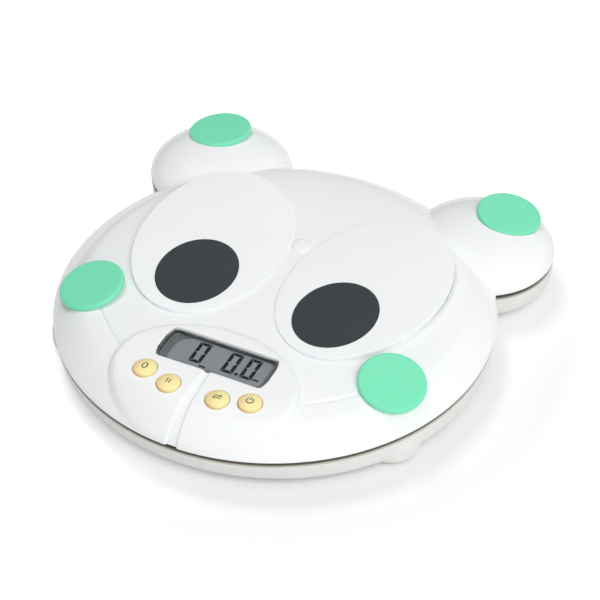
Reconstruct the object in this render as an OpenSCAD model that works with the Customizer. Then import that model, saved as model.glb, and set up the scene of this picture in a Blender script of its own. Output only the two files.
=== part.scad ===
// Toddler and baby weighing scale shaped like an animal's head: a domed platform with two round
// ears floats on four load cells in a shallow base. Millimetres, +Z up, front towards -Y.
// The origin is the centre of the whole outline on the floor that the rubber feet stand on.

/* [Platform outline] */
// Radius of the round head at the seam
head_r = 149; // [140:1:160]
// Radius of each ear at the seam
ear_r = 53; // [48:1:56]
// Sideways distance from the head's centre to an ear's centre
ear_x = 101; // [96:1:106]
// Rearward distance from the head's centre to an ear's centre
ear_y = 117; // [112:1:122]

/* [Platform height] */
// Height of the platform's lower edge above the floor
seam_z = 26.4; // [25.5:0.1:30]
// Rise of the head's dome above the seam
dome_h = 22.4; // [21:0.1:24]
// Squareness of the head's dome profile
dome_p = 3.0; // [2.6:0.1:3.4]
// Rise of an ear's dome above the seam
ear_h = 18.2; // [16:0.1:20]
// Squareness of an ear's dome profile
ear_p = 2.3; // [2:0.1:3]
// Wall thickness of the platform
platform_wall = 2.8; // [2.4:0.1:3.2]
// Facets along each dome's profile
dome_steps = 14; // [8:1:20]

/* [Muzzle] */
// Half width of the raised muzzle
muzzle_rx = 65; // [60:1:68]
// Half length of the raised muzzle
muzzle_ry = 47; // [44:1:50]
// Distance from the head's centre forward to the muzzle's centre
muzzle_y = 103; // [100:1:106]
// Rise of the muzzle's surface above the seam
muzzle_h = 24; // [23:0.1:25]
// Squareness of the muzzle's profile
muzzle_p = 4.2; // [3.8:0.1:4.6]
// Width of the centre groove where it leaves the display
groove_top_w = 4.4; // [3:0.1:6]
// Width of the centre groove at the platform's edge
groove_low_w = 7.6; // [5:0.1:9]
// Depth of the centre groove
groove_depth = 1.7; // [1:0.1:2]

/* [Skirt] */
// Gap between the platform's inner skirt and the base's lip
skirt_gap = 0.6; // [0.5:0.1:1]
// Wall thickness of the skirt and of the ledge that carries it
skirt_wall = 1.6; // [1.2:0.1:2]
// Depth of the skirt below the seam
skirt_drop = 3.4; // [2.6:0.1:3.8]

/* [Foot plates] */
// Half length of each flat oval foot plate
plate_ra = 76.8; // [72:0.1:78]
// Half width of each foot plate
plate_rb = 51.2; // [48:0.1:52]
// Sideways distance from the middle to a foot plate's centre
plate_x = 57.3; // [56:0.1:60]
// Rearward distance from the head's centre to a foot plate's centre
plate_y = 19.5; // [16:0.1:22]
// Angle by which each foot plate's long axis leans out at the rear
plate_lean = 7.8; // [4:0.1:12]
// Height of the foot plates' top above the floor
plate_top_z = 50; // [49.6:0.1:51]
// Thickness of a foot plate
plate_t = 2; // [1.6:0.1:2.4]
// Half length of each dark grip patch
patch_ra = 33.9; // [30:0.1:36]
// Half width of each dark grip patch
patch_rb = 27; // [24:0.1:30]
// Sideways distance from the middle to a grip patch's centre
patch_x = 51.2; // [49:0.1:53]
// Forward distance from the head's centre to a grip patch's centre
patch_y = 14.4; // [12:0.1:17]
// Angle by which each grip patch's long axis leans out at the rear
patch_lean = 4.4; // [2:0.1:8]
// Thickness of a grip patch
patch_t = 0.8; // [0.5:0.1:1.2]
// Height by which a grip patch stands above its foot plate
patch_proud = 0.15; // [0.1:0.05:0.4]

/* [Tray pads] */
// Radius of each round rubber pad that carries the baby tray
pad_r = 22.5; // [20:0.1:24]
// Thickness of a rubber pad
pad_t = 3.6; // [3:0.1:4.5]
// Radius of the rounded edge of a rubber pad
pad_edge = 1.6; // [1:0.1:1.8]
// Distance of a cheek pad's centre inside the head's edge
cheek_pad_in = 26.3; // [25:0.1:28]
// Angle of a cheek pad's centre in front of the sideways line
cheek_pad_turn = 26.4; // [24:0.1:29]
// Height of a cheek pad's top at its centre
cheek_pad_z = 47.8; // [47.4:0.1:48.6]
// Slope of a cheek pad, outwards
cheek_tilt_x = 11.8; // [9:0.1:14]
// Slope of a cheek pad, forwards
cheek_tilt_y = 9.7; // [7:0.1:12]
// Distance of an ear pad's centre outwards from the ear's centre
ear_pad_out = 23.8; // [22:0.1:25]
// Angle of an ear pad's centre behind the sideways line
ear_pad_turn = 60.9; // [57:0.1:64]
// Height of an ear pad's top at its centre
ear_pad_z = 46.6; // [46:0.1:48]
// Slope of an ear pad, outwards
ear_tilt_x = 7.7; // [5:0.1:10]
// Slope of an ear pad, rearwards
ear_tilt_y = 2.9; // [1:0.1:5]
// Distance by which a rubber pad overhangs its seat
pad_overhang = 3.5; // [1:0.1:5]
// Radius of the stem that plugs each pad into the platform
pad_stem_r = 4; // [3:0.1:5]
// Length of that stem
pad_stem_l = 3; // [2:0.1:4]

/* [Centre plug] */
// Radius of the round plug between the foot plates
plug_r = 7; // [6:0.1:7.5]
// Rearward distance from the head's centre to the plug
plug_y = 40.7; // [38:0.1:44]
// Height of the plug's crown above the platform's top
plug_proud = 1.2; // [0.6:0.1:1.6]
// Radius of the plug's stem
plug_stem_r = 3; // [2:0.1:4]
// Length of the plug's stem
plug_stem_l = 4; // [3:0.1:5]

/* [Display] */
// Width of the display window at its bulging ends
window_w = 79; // [74:0.5:82]
// Depth of the display window from front to rear
window_d = 28.4; // [26:0.1:30]
// Radius of the window's corners
window_corner = 5; // [3:0.1:7]
// Radius of the arc at each end of the window
window_end_r = 40; // [38:0.5:60]
// Forward distance from the head's centre to the window's centre
window_y = 84; // [83:0.1:85.5]
// Height of the window's outer face above the floor
window_z = 49.2; // [48.8:0.1:49.6]
// Thickness of the clear window
window_t = 1.4; // [1:0.1:1.8]
// Wall of the dark frame under the window
frame_wall = 1.2; // [0.8:0.1:1.6]
// Depth of the liquid crystal panel's face below the window's outer face
panel_drop = 3; // [2.6:0.1:4]
// Thickness of the liquid crystal panel
panel_t = 1.8; // [1.4:0.1:2.2]
// Sideways offset of the liquid crystal panel
panel_x = 1.8; // [1:0.1:3]
// Difference between the window's and the liquid crystal panel's widths
panel_short = 11.5; // [11:0.5:14]
// Depth of the liquid crystal panel from front to rear
panel_d = 24.6; // [22:0.1:25]
// Radius of the liquid crystal panel's corners
panel_corner = 5; // [4:0.1:6]

/* [Buttons] */
// Radius of a button cap
button_r = 8.2; // [7.4:0.1:8.6]
// Crown of a button cap above its rim
button_crown = 1.1; // [0.6:0.1:1.5]
// Height of a button cap's rim above the muzzle around it
button_proud = 0.35; // [0.2:0.05:0.8]
// Radius of the flange that keeps a cap in
button_flange_r = 9.4; // [9.2:0.1:9.6]
// Thickness of that flange
button_flange_t = 1; // [0.8:0.1:1.2]
// Radius of a cap's stem
button_stem_r = 2.2; // [1.6:0.1:2.4]
// Gap around a button cap
button_gap = 0.3; // [0.2:0.05:0.45]
// Travel of a button
button_travel = 0.9; // [0.6:0.1:1]
// Sideways distance from the middle to an outer button
outer_button_x = 37.5; // [36.5:0.1:39]
// Forward distance from the head's centre to an outer button
outer_button_y = 111.6; // [110:0.1:113]
// Sideways distance from the middle to an inner button
inner_button_x = 17.4; // [16:0.1:18]
// Forward distance from the head's centre to an inner button
inner_button_y = 117.5; // [116:0.1:118.5]
// Wire radius of a button's return spring
key_spring_wire = 0.3; // [0.2:0.05:0.4]
// Coil radius of a button's return spring
key_spring_r = 5.6; // [5.2:0.1:6.4]

/* [Circuit board] */
// Height of the circuit board's upper face
board_z = 38.4; // [38:0.1:38.6]
// Thickness of the circuit board
board_t = 1.6; // [1:0.1:2]
// Distance from a board screw to the board's side edge
board_edge = 5; // [4:0.1:6]
// Depth of the circuit board from front to rear
board_d = 60; // [58:1:61]
// Forward distance from the head's centre to the board's centre
board_y = 97; // [96:0.5:97.5]
// Side of a square key switch
switch_w = 6; // [5:0.1:6.5]
// Height of a key switch's body
switch_h = 3.4; // [3:0.1:3.5]
// Radius of a key switch's plunger
switch_pin_r = 1.7; // [1.2:0.1:2]

/* [Base] */
// Distance by which the base's wall lies inside the platform's edge
base_inset = 1.2; // [0.8:0.1:2]
// Height of the shoulder where the base's outer wall ends
shoulder_z = 22.6; // [21:0.1:23]
// Distance by which the base's inner lip lies inside the platform's edge
lip_inset = 3.4; // [3:0.1:4.4]
// Height of the top of the inner lip
lip_top_z = 24.6; // [24:0.1:24.8]
// Inward slope of the base's wall from shoulder to corner
base_taper = 3; // [1:0.1:4]
// Radius of the base's lower corner
base_corner = 8; // [6:0.1:10]
// Height of the base's underside
base_z = 4; // [3.6:0.1:5]
// Wall thickness of the base
base_wall = 2.6; // [2.2:0.1:3]

/* [Feet and load cells] */
// Radius of the round foot housing under each corner
foot_r = 20; // [18:0.1:22]
// Radius of the foot housing's lower edge
foot_edge = 5; // [4:0.1:6]
// Height of the foot housing's underside
foot_z = 2; // [1.4:0.1:2.6]
// Distance of a front foot's centre inside the head's edge
front_foot_in = 18.4; // [17.5:0.1:20]
// Angle of a front foot in front of the sideways line
front_foot_turn = 29.3; // [28:0.1:31]
// Distance of a rear foot outwards from the ear's centre
rear_foot_out = 18.4; // [16:0.1:19]
// Angle of a rear foot behind the sideways line
rear_foot_turn = 60.9; // [57:0.1:64]
// Radius of a rubber foot
sole_r = 13; // [11:0.1:14]
// Thickness of a rubber foot
sole_t = 3.6; // [3:0.1:4]
// Side of a square load cell
cell_w = 32; // [30:0.5:33]
// Thickness of a load cell's steel plate
cell_t = 2; // [1.6:0.1:2.4]
// Height of the two rails that carry a load cell
cell_rail_h = 2.4; // [2:0.1:3]
// Width of a load cell's tongue
cell_tongue_w = 10; // [8:0.1:12]
// Width of the slots on both sides of the tongue
cell_slot_w = 3; // [2:0.1:4]
// Radius of the button on a load cell's tongue
cell_button_r = 4; // [3:0.1:5]
// Height of that button
cell_button_h = 1.8; // [1.4:0.1:2.2]
// Radius of the platform's post above each load cell
post_r = 6; // [5:0.1:8]
// Travel of the platform under full load
press_travel = 0.8; // [0.5:0.1:0.9]

/* [Battery bay] */
// Diameter of a battery
cell_d = 14.3; // [13.8:0.1:14.5]
// Length of a battery's can
cell_l = 49.2; // [48:0.1:50]
// Number of batteries
cell_n = 4; // [2:1:4]
// Gap between neighbouring batteries
cell_gap = 0.6; // [0.4:0.1:1]
// Rearward distance from the head's centre to the battery bay's centre
bay_y = 24; // [20:1:28]
// Room for the contacts at each end of a battery
contact_room = 4; // [3.4:0.1:5]
// Wall of the battery tray
tray_wall = 1.6; // [1.2:0.1:2]
// Margin of the battery cover over its opening
cover_lap = 3; // [2.4:0.1:4]
// Thickness of the battery cover
cover_t = 1.7; // [1.4:0.1:1.9]
// Travel of the battery cover when it slides open
cover_travel = 18; // [12:1:22]

/* [Fasteners and leads] */
// Radius of a retaining screw's shank
keep_screw_r = 1.5; // [1.3:0.1:1.8]
// Radius of a retaining screw's head
keep_head_r = 3; // [2.8:0.1:3.4]
// Height of a retaining screw's head
keep_head_h = 2; // [1.6:0.1:2.4]
// Length of a retaining screw under its head
keep_screw_l = 14; // [12:0.5:16]
// Radius of a platform boss for a retaining screw
keep_boss_r = 4.5; // [4:0.1:5]
// Distance of a front retaining screw inside the head's edge
front_keep_in = 32.4; // [31:0.1:34]
// Angle of a front retaining screw in front of the sideways line
front_keep_turn = 59; // [58:0.5:61]
// Distance of a rear retaining screw inside the head's edge
rear_keep_in = 38; // [36:0.1:40]
// Angle of a rear retaining screw behind the sideways line
rear_keep_turn = 64.4; // [63:0.1:66]
// Radius of a small screw's shank
small_screw_r = 1.1; // [1:0.1:1.3]
// Radius of a small screw's head
small_head_r = 2.2; // [2:0.1:2.4]
// Height of a small screw's head
small_head_h = 1.4; // [1.2:0.1:1.8]
// Length of a small screw under its head
small_screw_l = 6; // [5:0.1:7]
// Width of a flat lead
lead_w = 4; // [3:0.1:5]
// Thickness of a flat lead
lead_t = 1; // [0.8:0.1:1.4]

/* [Hidden] */
$fn = 72;

// The whole outline is centred on the origin, so the head's centre lies forward of it.
head_y = (head_r - ear_y - ear_r) / 2;
eps = 0.01;
far = 400;
fit_gap = 0.2;
pin_gap = 0.05;
corner_steps = 6;
pad_seat_h = 6;

left = -1;
right = 1;

plate_seat_z = plate_top_z - plate_t;
dome_top_z = seam_z + dome_h;
panel_z = window_z - panel_drop;
panel_w = window_w - panel_short;
window_seat_z = window_z - window_t;
bowl_floor_z = base_z + base_wall;
cell_z = bowl_floor_z + cell_rail_h;
post_z = cell_z + cell_t + cell_button_h;
cell_rail_w = 5;
cell_screw_x = cell_w / 2 - cell_rail_w / 2;
cell_screw_pitch = cell_w - 10;
cell_screw_l = cell_t + cell_rail_h + 1;
cell_frame_w = 4;
contact_w = 11;
tray_screw_l = small_screw_l * 2 / 3;
lead_side_x = head_r * 0.44;
lead_rear_y = head_r * 0.4;
lead_step = 3.5;
junction_step = 1;
lead_bend = 8;
lead_swell = 0.15;

// Battery bay: the cells lie side by side along Y, just above the cover.
bay_w = cell_n * cell_d + (cell_n + 1) * cell_gap;
bay_d = cell_l + 2 * contact_room;
cover_gap = 0.1;
cover_top_z = base_z - cover_gap;
battery_z = cover_top_z + 0.4 + cell_d / 2;
tray_in_z = battery_z + cell_d / 2 + cell_gap;
cover_w = bay_w + 2 * cover_lap;
cover_d = bay_d + 2 * cover_lap;
rail_w = 3;
rail_lap = 1.6;
rail_t = 1.2;
tray_ear_w = 7;
tray_ear_t = 2;
tray_ear_y = bay_d / 2 - 10;
contact_t = 0.6;
nub_r = 2.7;
nub_h = 1.2;

// Retaining screws hold the platform down on the base; their heads sit in wells from below.
well_z = base_z + 5;
well_seat_t = 2.6;
well_r = keep_head_r + 1;
keep_hole_r = keep_screw_r + 0.4;
keep_boss_z = well_z + well_seat_t + press_travel + 0.7;

board_under_z = board_z - board_t;
board_boss_r = 3.2;
board_screw_x = window_w / 2 + 3.5;
board_w = 2 * (board_screw_x + board_edge);
chip_r = 8;
chip_x = board_w * 0.23;
board_screw_y = [-96, -72];
switch_pin_h = 0.7;
switch_top_z = board_z + switch_h + switch_pin_h;
button_stem_z = switch_top_z + button_travel + 0.1;
button_flange_drop = 6.2;
button_flange_z = seam_z + muzzle_h - button_flange_drop;
button_wall = 1;

junction_y = 70;
junction_size = [24, 14, 4];
ribbon_w = 14;
ribbon_t = 0.8;

// ---------- shared shapes ----------

// Everything is laid out about the head's centre.
module at_head() { translate([0, head_y, 0]) children(); }

// Both sides of the scale mirror each other.
module both_sides() { for (side = [left, right]) scale_side(side) children(); }
module scale_side(side) { if (side < 0) mirror([1, 0, 0]) children(); else children(); }

// Height of a dome of radius r and rise h with squareness p, at distance d from its centre.
function dome_at(d, r, h, p) = h * pow(max(0, 1 - pow(d / r, p)), 1 / p);

// Points of a dome's half profile, from the rim up to the crown.
function dome_points(r, h, p) = [
    for (i = [0 : dome_steps])
        let (a = 90 * i / dome_steps)
            [i == dome_steps ? 0 : r * pow(cos(a), 2 / p), seam_z + h * pow(sin(a), 2 / p)]
];

// A solid dome that stands on the height low_z.
module dome(r, h, p, low_z) {
    rotate_extrude()
        polygon(concat([[0, low_z], [r, low_z]], dome_points(r, h, p)));
}

// A flat oval prism with half axes ra and rb; its long axis leans out by the angle lean.
module oval(ra, rb, lean, h) {
    rotate([0, 0, -lean])
        linear_extrude(height = h) scale([rb / ra, 1]) circle(r = ra);
}

// Domes of the head and both ears, shrunk by the wall thickness given as inset.
module platform_domes(inset, low_z) {
    dome(head_r - inset, dome_h - inset, dome_p, low_z);
    both_sides()
        translate([ear_x, ear_y, 0])
            dome(ear_r - inset, ear_h - inset, ear_p, low_z);
}

// The raised muzzle: a fuller dome cut to an oval outline, shrunk by inset.
module muzzle(inset, low_z) {
    intersection() {
        dome(head_r - inset, muzzle_h - inset, muzzle_p, low_z);
        translate([0, -muzzle_y, low_z])
            oval(muzzle_ry - inset, muzzle_rx - inset, 0, far);
    }
}

// The display window's outline: a rounded rectangle whose ends bulge in an arc.
module window_outline(inset) {
    w = window_w - 2 * inset;
    d = window_d - 2 * inset;
    r = window_corner - inset;
    intersection() {
        union() {
            square([w - 2 * r, d], center = true);
            square([w, d - 2 * r], center = true);
            for (x = [-1, 1], y = [-1, 1])
                translate([x * (w / 2 - r), y * (d / 2 - r)]) circle(r = r);
        }
        circle(r = window_end_r - inset);
    }
}

// The liquid crystal panel's outline, grown by the gap given.
module panel_outline(gap) {
    translate([panel_x, 0])
        offset(r = panel_corner + gap)
            square([panel_w - 2 * panel_corner, panel_d - 2 * panel_corner], center = true);
}

// Places its child on the top face of a tray pad.
module on_cheek_pad() {
    translate(concat(pad_spot(true), cheek_pad_z))
        rotate([cheek_tilt_y, cheek_tilt_x, 0])
            children();
}
module on_ear_pad() {
    translate(concat(pad_spot(false), ear_pad_z))
        rotate([-ear_tilt_y, ear_tilt_x, 0])
            children();
}

function button_spot(i) =
    let (outer = i == 0 || i == 3, side = i < 2 ? left : right)
        [side * (outer ? outer_button_x : inner_button_x), -(outer ? outer_button_y : inner_button_y)];

// Height of the muzzle's surface at the centre of button i.
function muzzle_z(p) = seam_z + dome_at(norm(p), head_r, muzzle_h, muzzle_p);
function button_rim_z(i) = muzzle_z(button_spot(i)) + button_proud;

// The point at distance r from the point from, in the direction of the angle turn.
function on_ray(from, r, turn) = from + r * [cos(turn), sin(turn)];

// Each load cell lies right under a rubber pad and faces its lobe's centre.
function pad_spot(front) =
    front ? on_ray([0, 0], head_r - cheek_pad_in, -cheek_pad_turn)
          : on_ray([ear_x, ear_y], ear_pad_out, ear_pad_turn);
function cell_turn(front) = front ? -cheek_pad_turn : ear_pad_turn;

// Places its child on the base's floor under a rubber pad, turned to its lobe's centre.
module at_cell(front, z) {
    translate(concat(pad_spot(front), z)) rotate([0, 0, cell_turn(front)]) children();
}

function foot_spot(front) =
    front ? on_ray([0, 0], head_r - front_foot_in, -front_foot_turn)
          : on_ray([ear_x, ear_y], rear_foot_out, rear_foot_turn);

function keep_spot(front) =
    front ? on_ray([0, 0], head_r - front_keep_in, -front_keep_turn)
          : on_ray([0, 0], head_r - rear_keep_in, rear_keep_turn);

// A pan-head screw that points up, with its head's underside on z = 0.
module screw(shank_r, shank_l, head_r, head_h) {
    translate([0, 0, -head_h]) cylinder(r = head_r, h = head_h);
    translate([0, 0, -eps]) cylinder(r = shank_r, h = shank_l + eps);
}

// ---------- platform ----------

module platform_shell() {
    color("white") at_head() difference() {
        union() {
            platform_body();
            skirt();
            platform_bosses();
        }
        platform_bores();
    }
}

// The outer skin with its recesses and the hollow under it.
module platform_body() {
    difference() {
        union() {
            platform_domes(0, seam_z);
            muzzle(0, seam_z);
            both_sides() {
                translate([plate_x, plate_y, seam_z])
                    oval(plate_ra, plate_rb, plate_lean, plate_seat_z - seam_z);
                on_cheek_pad() pad_seat();
                on_ear_pad() pad_seat();
            }
        }
        platform_domes(platform_wall, seam_z - eps);
        muzzle(platform_wall, seam_z - eps);
        both_sides() translate([plate_x, plate_y, plate_seat_z])
            oval(plate_ra + fit_gap, plate_rb + fit_gap, plate_lean, far);
        both_sides() {
            on_cheek_pad() pad_recess();
            on_ear_pad() pad_recess();
        }
        groove();
    }
}

// A ledge inside the platform's edge, whose skirt reaches down behind the base's lip.
module skirt() {
    ring_r = lip_inset + base_wall + skirt_gap;
    difference() {
        union() {
            translate([0, 0, seam_z]) lobes(platform_wall / 2, skirt_wall);
            translate([0, 0, seam_z - skirt_drop]) lobes(ring_r, skirt_drop + skirt_wall);
        }
        translate([0, 0, seam_z - skirt_drop - 1]) lobes(ring_r + skirt_wall, far);
    }
}

// A slice of the whole outline, shrunk by inset.
module lobes(inset, h) {
    cylinder(r = head_r - inset, h = h);
    both_sides() translate([ear_x, ear_y, 0]) cylinder(r = ear_r - inset, h = h);
}

// A short drum under each rubber pad, sunk well into the wall.
module pad_seat() {
    translate([0, 0, -pad_t - pad_seat_h]) cylinder(r = pad_r - pad_overhang, h = pad_seat_h);
}

// The hole for a rubber pad's stem.
module pad_socket() {
    translate([0, 0, -pad_t - pad_stem_l]) cylinder(r = pad_stem_r + pin_gap, h = far);
}

// The room that a rubber pad takes, kept clear of the dome around it.
module pad_recess() {
    translate([0, 0, -pad_t]) cylinder(r = pad_r + fit_gap, h = far);
}

// The groove that runs from the display to the front edge, as deep as groove_depth.
module groove() {
    top_y = -(window_y + window_d / 2 - 1);
    low_y = -(head_r + 2);
    difference() {
        translate([0, 0, seam_z - 1])
            linear_extrude(height = far)
                polygon([[-groove_top_w / 2, top_y], [groove_top_w / 2, top_y],
                         [groove_low_w / 2, low_y], [-groove_low_w / 2, low_y]]);
        dome(head_r - groove_depth, muzzle_h - groove_depth, muzzle_p, seam_z - 2);
    }
}

// Posts over the load cells, bosses for the retaining screws and bosses for the circuit board.
module platform_bosses() {
    intersection() {
        union() {
            both_sides() for (front = [true, false]) {
                translate(concat(pad_spot(front), post_z)) cylinder(r = post_r, h = far);
                translate(concat(keep_spot(front), keep_boss_z)) cylinder(r = keep_boss_r, h = far);
            }
            for (spot = board_screw_spots())
                translate([spot.x, spot.y, board_z]) cylinder(r = board_boss_r, h = far);
            for (i = [0 : 3])
                translate(concat(button_spot(i), button_flange_z))
                    cylinder(r = button_flange_r + button_gap + button_wall, h = far);
        }
        union() {
            platform_domes(platform_wall / 2, post_z - 1);
            muzzle(platform_wall / 2, post_z - 1);
        }
    }
}

function board_screw_spots() = [
    for (x = [-1, 1], y = board_screw_y) [x * board_screw_x, y]
];

// Openings for the window, buttons, stems and screws.
module platform_bores() {
    translate([0, -window_y, board_z])
        linear_extrude(height = far) window_outline(0);
    for (i = [0 : 3])
        translate(concat(button_spot(i), board_z)) {
            cylinder(r = button_r + button_gap, h = far);
            cylinder(r = button_flange_r + button_gap, h = button_flange_z + button_flange_t - board_z);
        }
    both_sides() {
        on_cheek_pad() pad_socket();
        on_ear_pad() pad_socket();
        for (front = [true, false])
            translate(concat(keep_spot(front), well_z + well_seat_t))
                cylinder(r = keep_screw_r + pin_gap, h = keep_screw_l - well_seat_t);
    }
    translate([0, plug_y, dome_top_z - plug_stem_l]) cylinder(r = plug_stem_r + pin_gap, h = far);
    for (spot = board_screw_spots())
        translate([spot.x, spot.y, board_z - eps])
            cylinder(r = small_screw_r + pin_gap, h = small_screw_l - board_t + eps);
}

module foot_plate(side) {
    color("whitesmoke") at_head() scale_side(side) difference() {
        translate([plate_x, plate_y, plate_seat_z])
            oval(plate_ra, plate_rb, plate_lean, plate_t);
        translate([patch_x, -patch_y, plate_top_z + patch_proud - patch_t])
            oval(patch_ra + pin_gap, patch_rb + pin_gap, patch_lean, far);
    }
}
module left_foot_plate() { foot_plate(left); }
module right_foot_plate() { foot_plate(right); }

module grip_patch(side) {
    color("dimgray") at_head() scale_side(side)
        translate([patch_x, -patch_y, plate_top_z + patch_proud - patch_t])
            oval(patch_ra, patch_rb, patch_lean, patch_t);
}
module left_grip_patch() { grip_patch(left); }
module right_grip_patch() { grip_patch(right); }

// A shallow crowned plug with a stem.
module centre_plug() {
    color("white") at_head() translate([0, plug_y, dome_top_z]) {
        rotate_extrude()
            polygon([[0, 0], [plug_r, 0], [plug_r, plug_proud * 0.4],
                     [plug_r - 1, plug_proud * 0.85], [plug_r * 0.5, plug_proud], [0, plug_proud]]);
        translate([0, 0, -plug_stem_l]) cylinder(r = plug_stem_r, h = plug_stem_l + eps);
    }
}

// A rubber pad with a rounded edge; its top face is at z = 0.
module tray_pad() {
    rotate_extrude() {
        difference() {
            translate([0, -pad_t]) square([pad_r, pad_t]);
            translate([pad_r - pad_edge, -pad_edge]) difference() {
                square(pad_edge + 1);
                circle(r = pad_edge);
            }
        }
    }
    translate([0, 0, -pad_t - pad_stem_l]) cylinder(r = pad_stem_r, h = pad_stem_l + eps);
}
module left_cheek_pad() { color("aquamarine") at_head() scale_side(left) on_cheek_pad() tray_pad(); }
module right_cheek_pad() { color("aquamarine") at_head() scale_side(right) on_cheek_pad() tray_pad(); }
module left_ear_pad() { color("aquamarine") at_head() scale_side(left) on_ear_pad() tray_pad(); }
module right_ear_pad() { color("aquamarine") at_head() scale_side(right) on_ear_pad() tray_pad(); }

// ---------- display and electronics ----------

module display_window() {
    color("lightgray", 0.4) at_head() translate([0, -window_y, window_seat_z])
        linear_extrude(height = window_t) window_outline(fit_gap);
}

// A dark tube under the window, with a floor that masks all but the liquid crystal panel.
module display_frame() {
    color("darkslategray") at_head() translate([0, -window_y, 0]) difference() {
        translate([0, 0, board_z])
            linear_extrude(height = window_seat_z - board_z) window_outline(fit_gap);
        translate([0, 0, panel_z])
            linear_extrude(height = far) window_outline(fit_gap + frame_wall);
        translate([0, 0, board_z - eps])
            linear_extrude(height = far) panel_outline(fit_gap);
    }
}

module display_panel() {
    color("gray") at_head() translate([0, -window_y, panel_z - panel_t])
        linear_extrude(height = panel_t) panel_outline(0);
}

// Two conductive rubber strips that carry the display's signals up from the board.
module display_contact_strips() {
    strip_w = 2.2;
    strip_l = panel_w - 6;
    color("black") at_head() for (y = [-1, 1])
        translate([panel_x - strip_l / 2, -window_y + y * (panel_d / 2 - strip_w) - strip_w / 2, board_z])
            cube([strip_l, strip_w, panel_z - panel_t - board_z]);
}

module main_board() {
    color("seagreen") at_head() difference() {
        translate([-board_w / 2, -board_y - board_d / 2, board_under_z])
            cube([board_w, board_d, board_t]);
        for (spot = board_screw_spots())
            translate([spot.x, spot.y, board_under_z - 1])
                cylinder(r = small_screw_r + pin_gap, h = board_t + 2);
    }
}

// The weighing chip under its drop of black resin, on the board's lower face.
module controller_chip() {
    color("black") at_head() translate([-chip_x, -window_y, board_under_z]) mirror([0, 0, 1])
        rotate_extrude()
            polygon([[0, 0], [chip_r, 0], [chip_r * 0.85, 1.4], [chip_r * 0.5, 2.2], [0, 2.4]]);
}

// A round button cap with a crowned top, a flange and a stem.
module button_cap(i) {
    rim_z = button_rim_z(i);
    color("khaki") at_head() translate(button_spot(i)) {
        translate([0, 0, button_flange_z])
            rotate_extrude()
                polygon([
                    [0, 0], [button_flange_r, 0], [button_flange_r, button_flange_t],
                    [button_r, button_flange_t], [button_r, rim_z - button_flange_z],
                    [button_r * 0.92, rim_z - button_flange_z + button_crown * 0.45],
                    [button_r * 0.7, rim_z - button_flange_z + button_crown * 0.8],
                    [button_r * 0.35, rim_z - button_flange_z + button_crown],
                    [0, rim_z - button_flange_z + button_crown]]);
        translate([0, 0, button_stem_z])
            cylinder(r = button_stem_r, h = button_flange_z - button_stem_z + eps);
    }
}
module zero_button() { button_cap(0); }
module hold_button() { button_cap(1); }
module unit_button() { button_cap(2); }
module power_button() { button_cap(3); }

module button_spring(i) {
    color("silver") at_head() translate(button_spot(i)) translate([0, 0, board_z])
        rotate_extrude() translate([key_spring_r - key_spring_wire, 0])
            square([2 * key_spring_wire, button_flange_z - board_z]);
}
module zero_button_spring() { button_spring(0); }
module hold_button_spring() { button_spring(1); }
module unit_button_spring() { button_spring(2); }
module power_button_spring() { button_spring(3); }

module key_switches() {
    color("dimgray") at_head() for (i = [0 : 3])
        translate(concat(button_spot(i), board_z)) {
            translate([-switch_w / 2, -switch_w / 2, 0]) cube([switch_w, switch_w, switch_h]);
            cylinder(r = switch_pin_r, h = switch_top_z - board_z);
        }
}

module board_screws() {
    color("silver") at_head() for (spot = board_screw_spots())
        translate([spot.x, spot.y, board_under_z])
            screw(small_screw_r, small_screw_l, small_head_r, small_head_h);
}

module retaining_screws() {
    color("silver") at_head() both_sides() for (front = [true, false])
        translate(concat(keep_spot(front), well_z))
            screw(keep_screw_r, keep_screw_l, keep_head_r, keep_head_h);
}

// ---------- base ----------

// Half profile of the base's bowl for an outline radius r at the seam.
function bowl_points(r) =
    let (wall_r = r - base_inset, low_r = wall_r - base_taper, c = base_corner)
        concat(
            [[0, base_z]],
            [for (i = [0 : corner_steps])
                let (a = 90 * i / corner_steps)
                    [low_r - c + c * sin(a), base_z + c - c * cos(a)]],
            [[wall_r, shoulder_z - 1], [wall_r - 1, shoulder_z], [r - lip_inset, shoulder_z],
             [r - lip_inset, lip_top_z], [0, lip_top_z]]);

// Half profile of the space inside that bowl.
function hollow_points(r) =
    let (low_r = r - base_inset - base_taper - base_wall, c = base_corner - base_wall)
        concat(
            [[0, bowl_floor_z]],
            [for (i = [0 : corner_steps])
                let (a = 90 * i / corner_steps)
                    [low_r - c + c * sin(a), bowl_floor_z + c - c * cos(a)]],
            [[r - lip_inset - base_wall, shoulder_z], [r - lip_inset - base_wall, lip_top_z + 1],
             [0, lip_top_z + 1]]);

module bowl(r) { rotate_extrude() polygon(bowl_points(r)); }
module hollow(r) { rotate_extrude() polygon(hollow_points(r)); }

// A round foot housing with a soft lower edge, which swells out of the bowl.
module foot_housing() {
    rotate_extrude()
        polygon(concat(
            [[0, foot_z]],
            [for (i = [0 : corner_steps])
                let (a = 90 * i / corner_steps)
                    [foot_r - foot_edge + foot_edge * sin(a), foot_z + foot_edge - foot_edge * cos(a)]],
            [for (i = [0 : corner_steps])
                let (a = 90 * i / corner_steps)
                    [foot_r - 2 * foot_edge * (1 - cos(a)), shoulder_z - 10 + 8 * sin(a)]],
            [[0, shoulder_z - 2]]));
}

module base_shell() {
    color("gainsboro") at_head() difference() {
        union() {
            difference() {
                union() {
                    bowl(head_r);
                    both_sides() {
                        translate([ear_x, ear_y, 0]) bowl(ear_r);
                        for (front = [true, false]) translate(foot_spot(front)) foot_housing();
                    }
                }
                hollow(head_r);
                both_sides() translate([ear_x, ear_y, 0]) hollow(ear_r);
            }
            base_fittings();
        }
        base_bores();
    }
}

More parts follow.
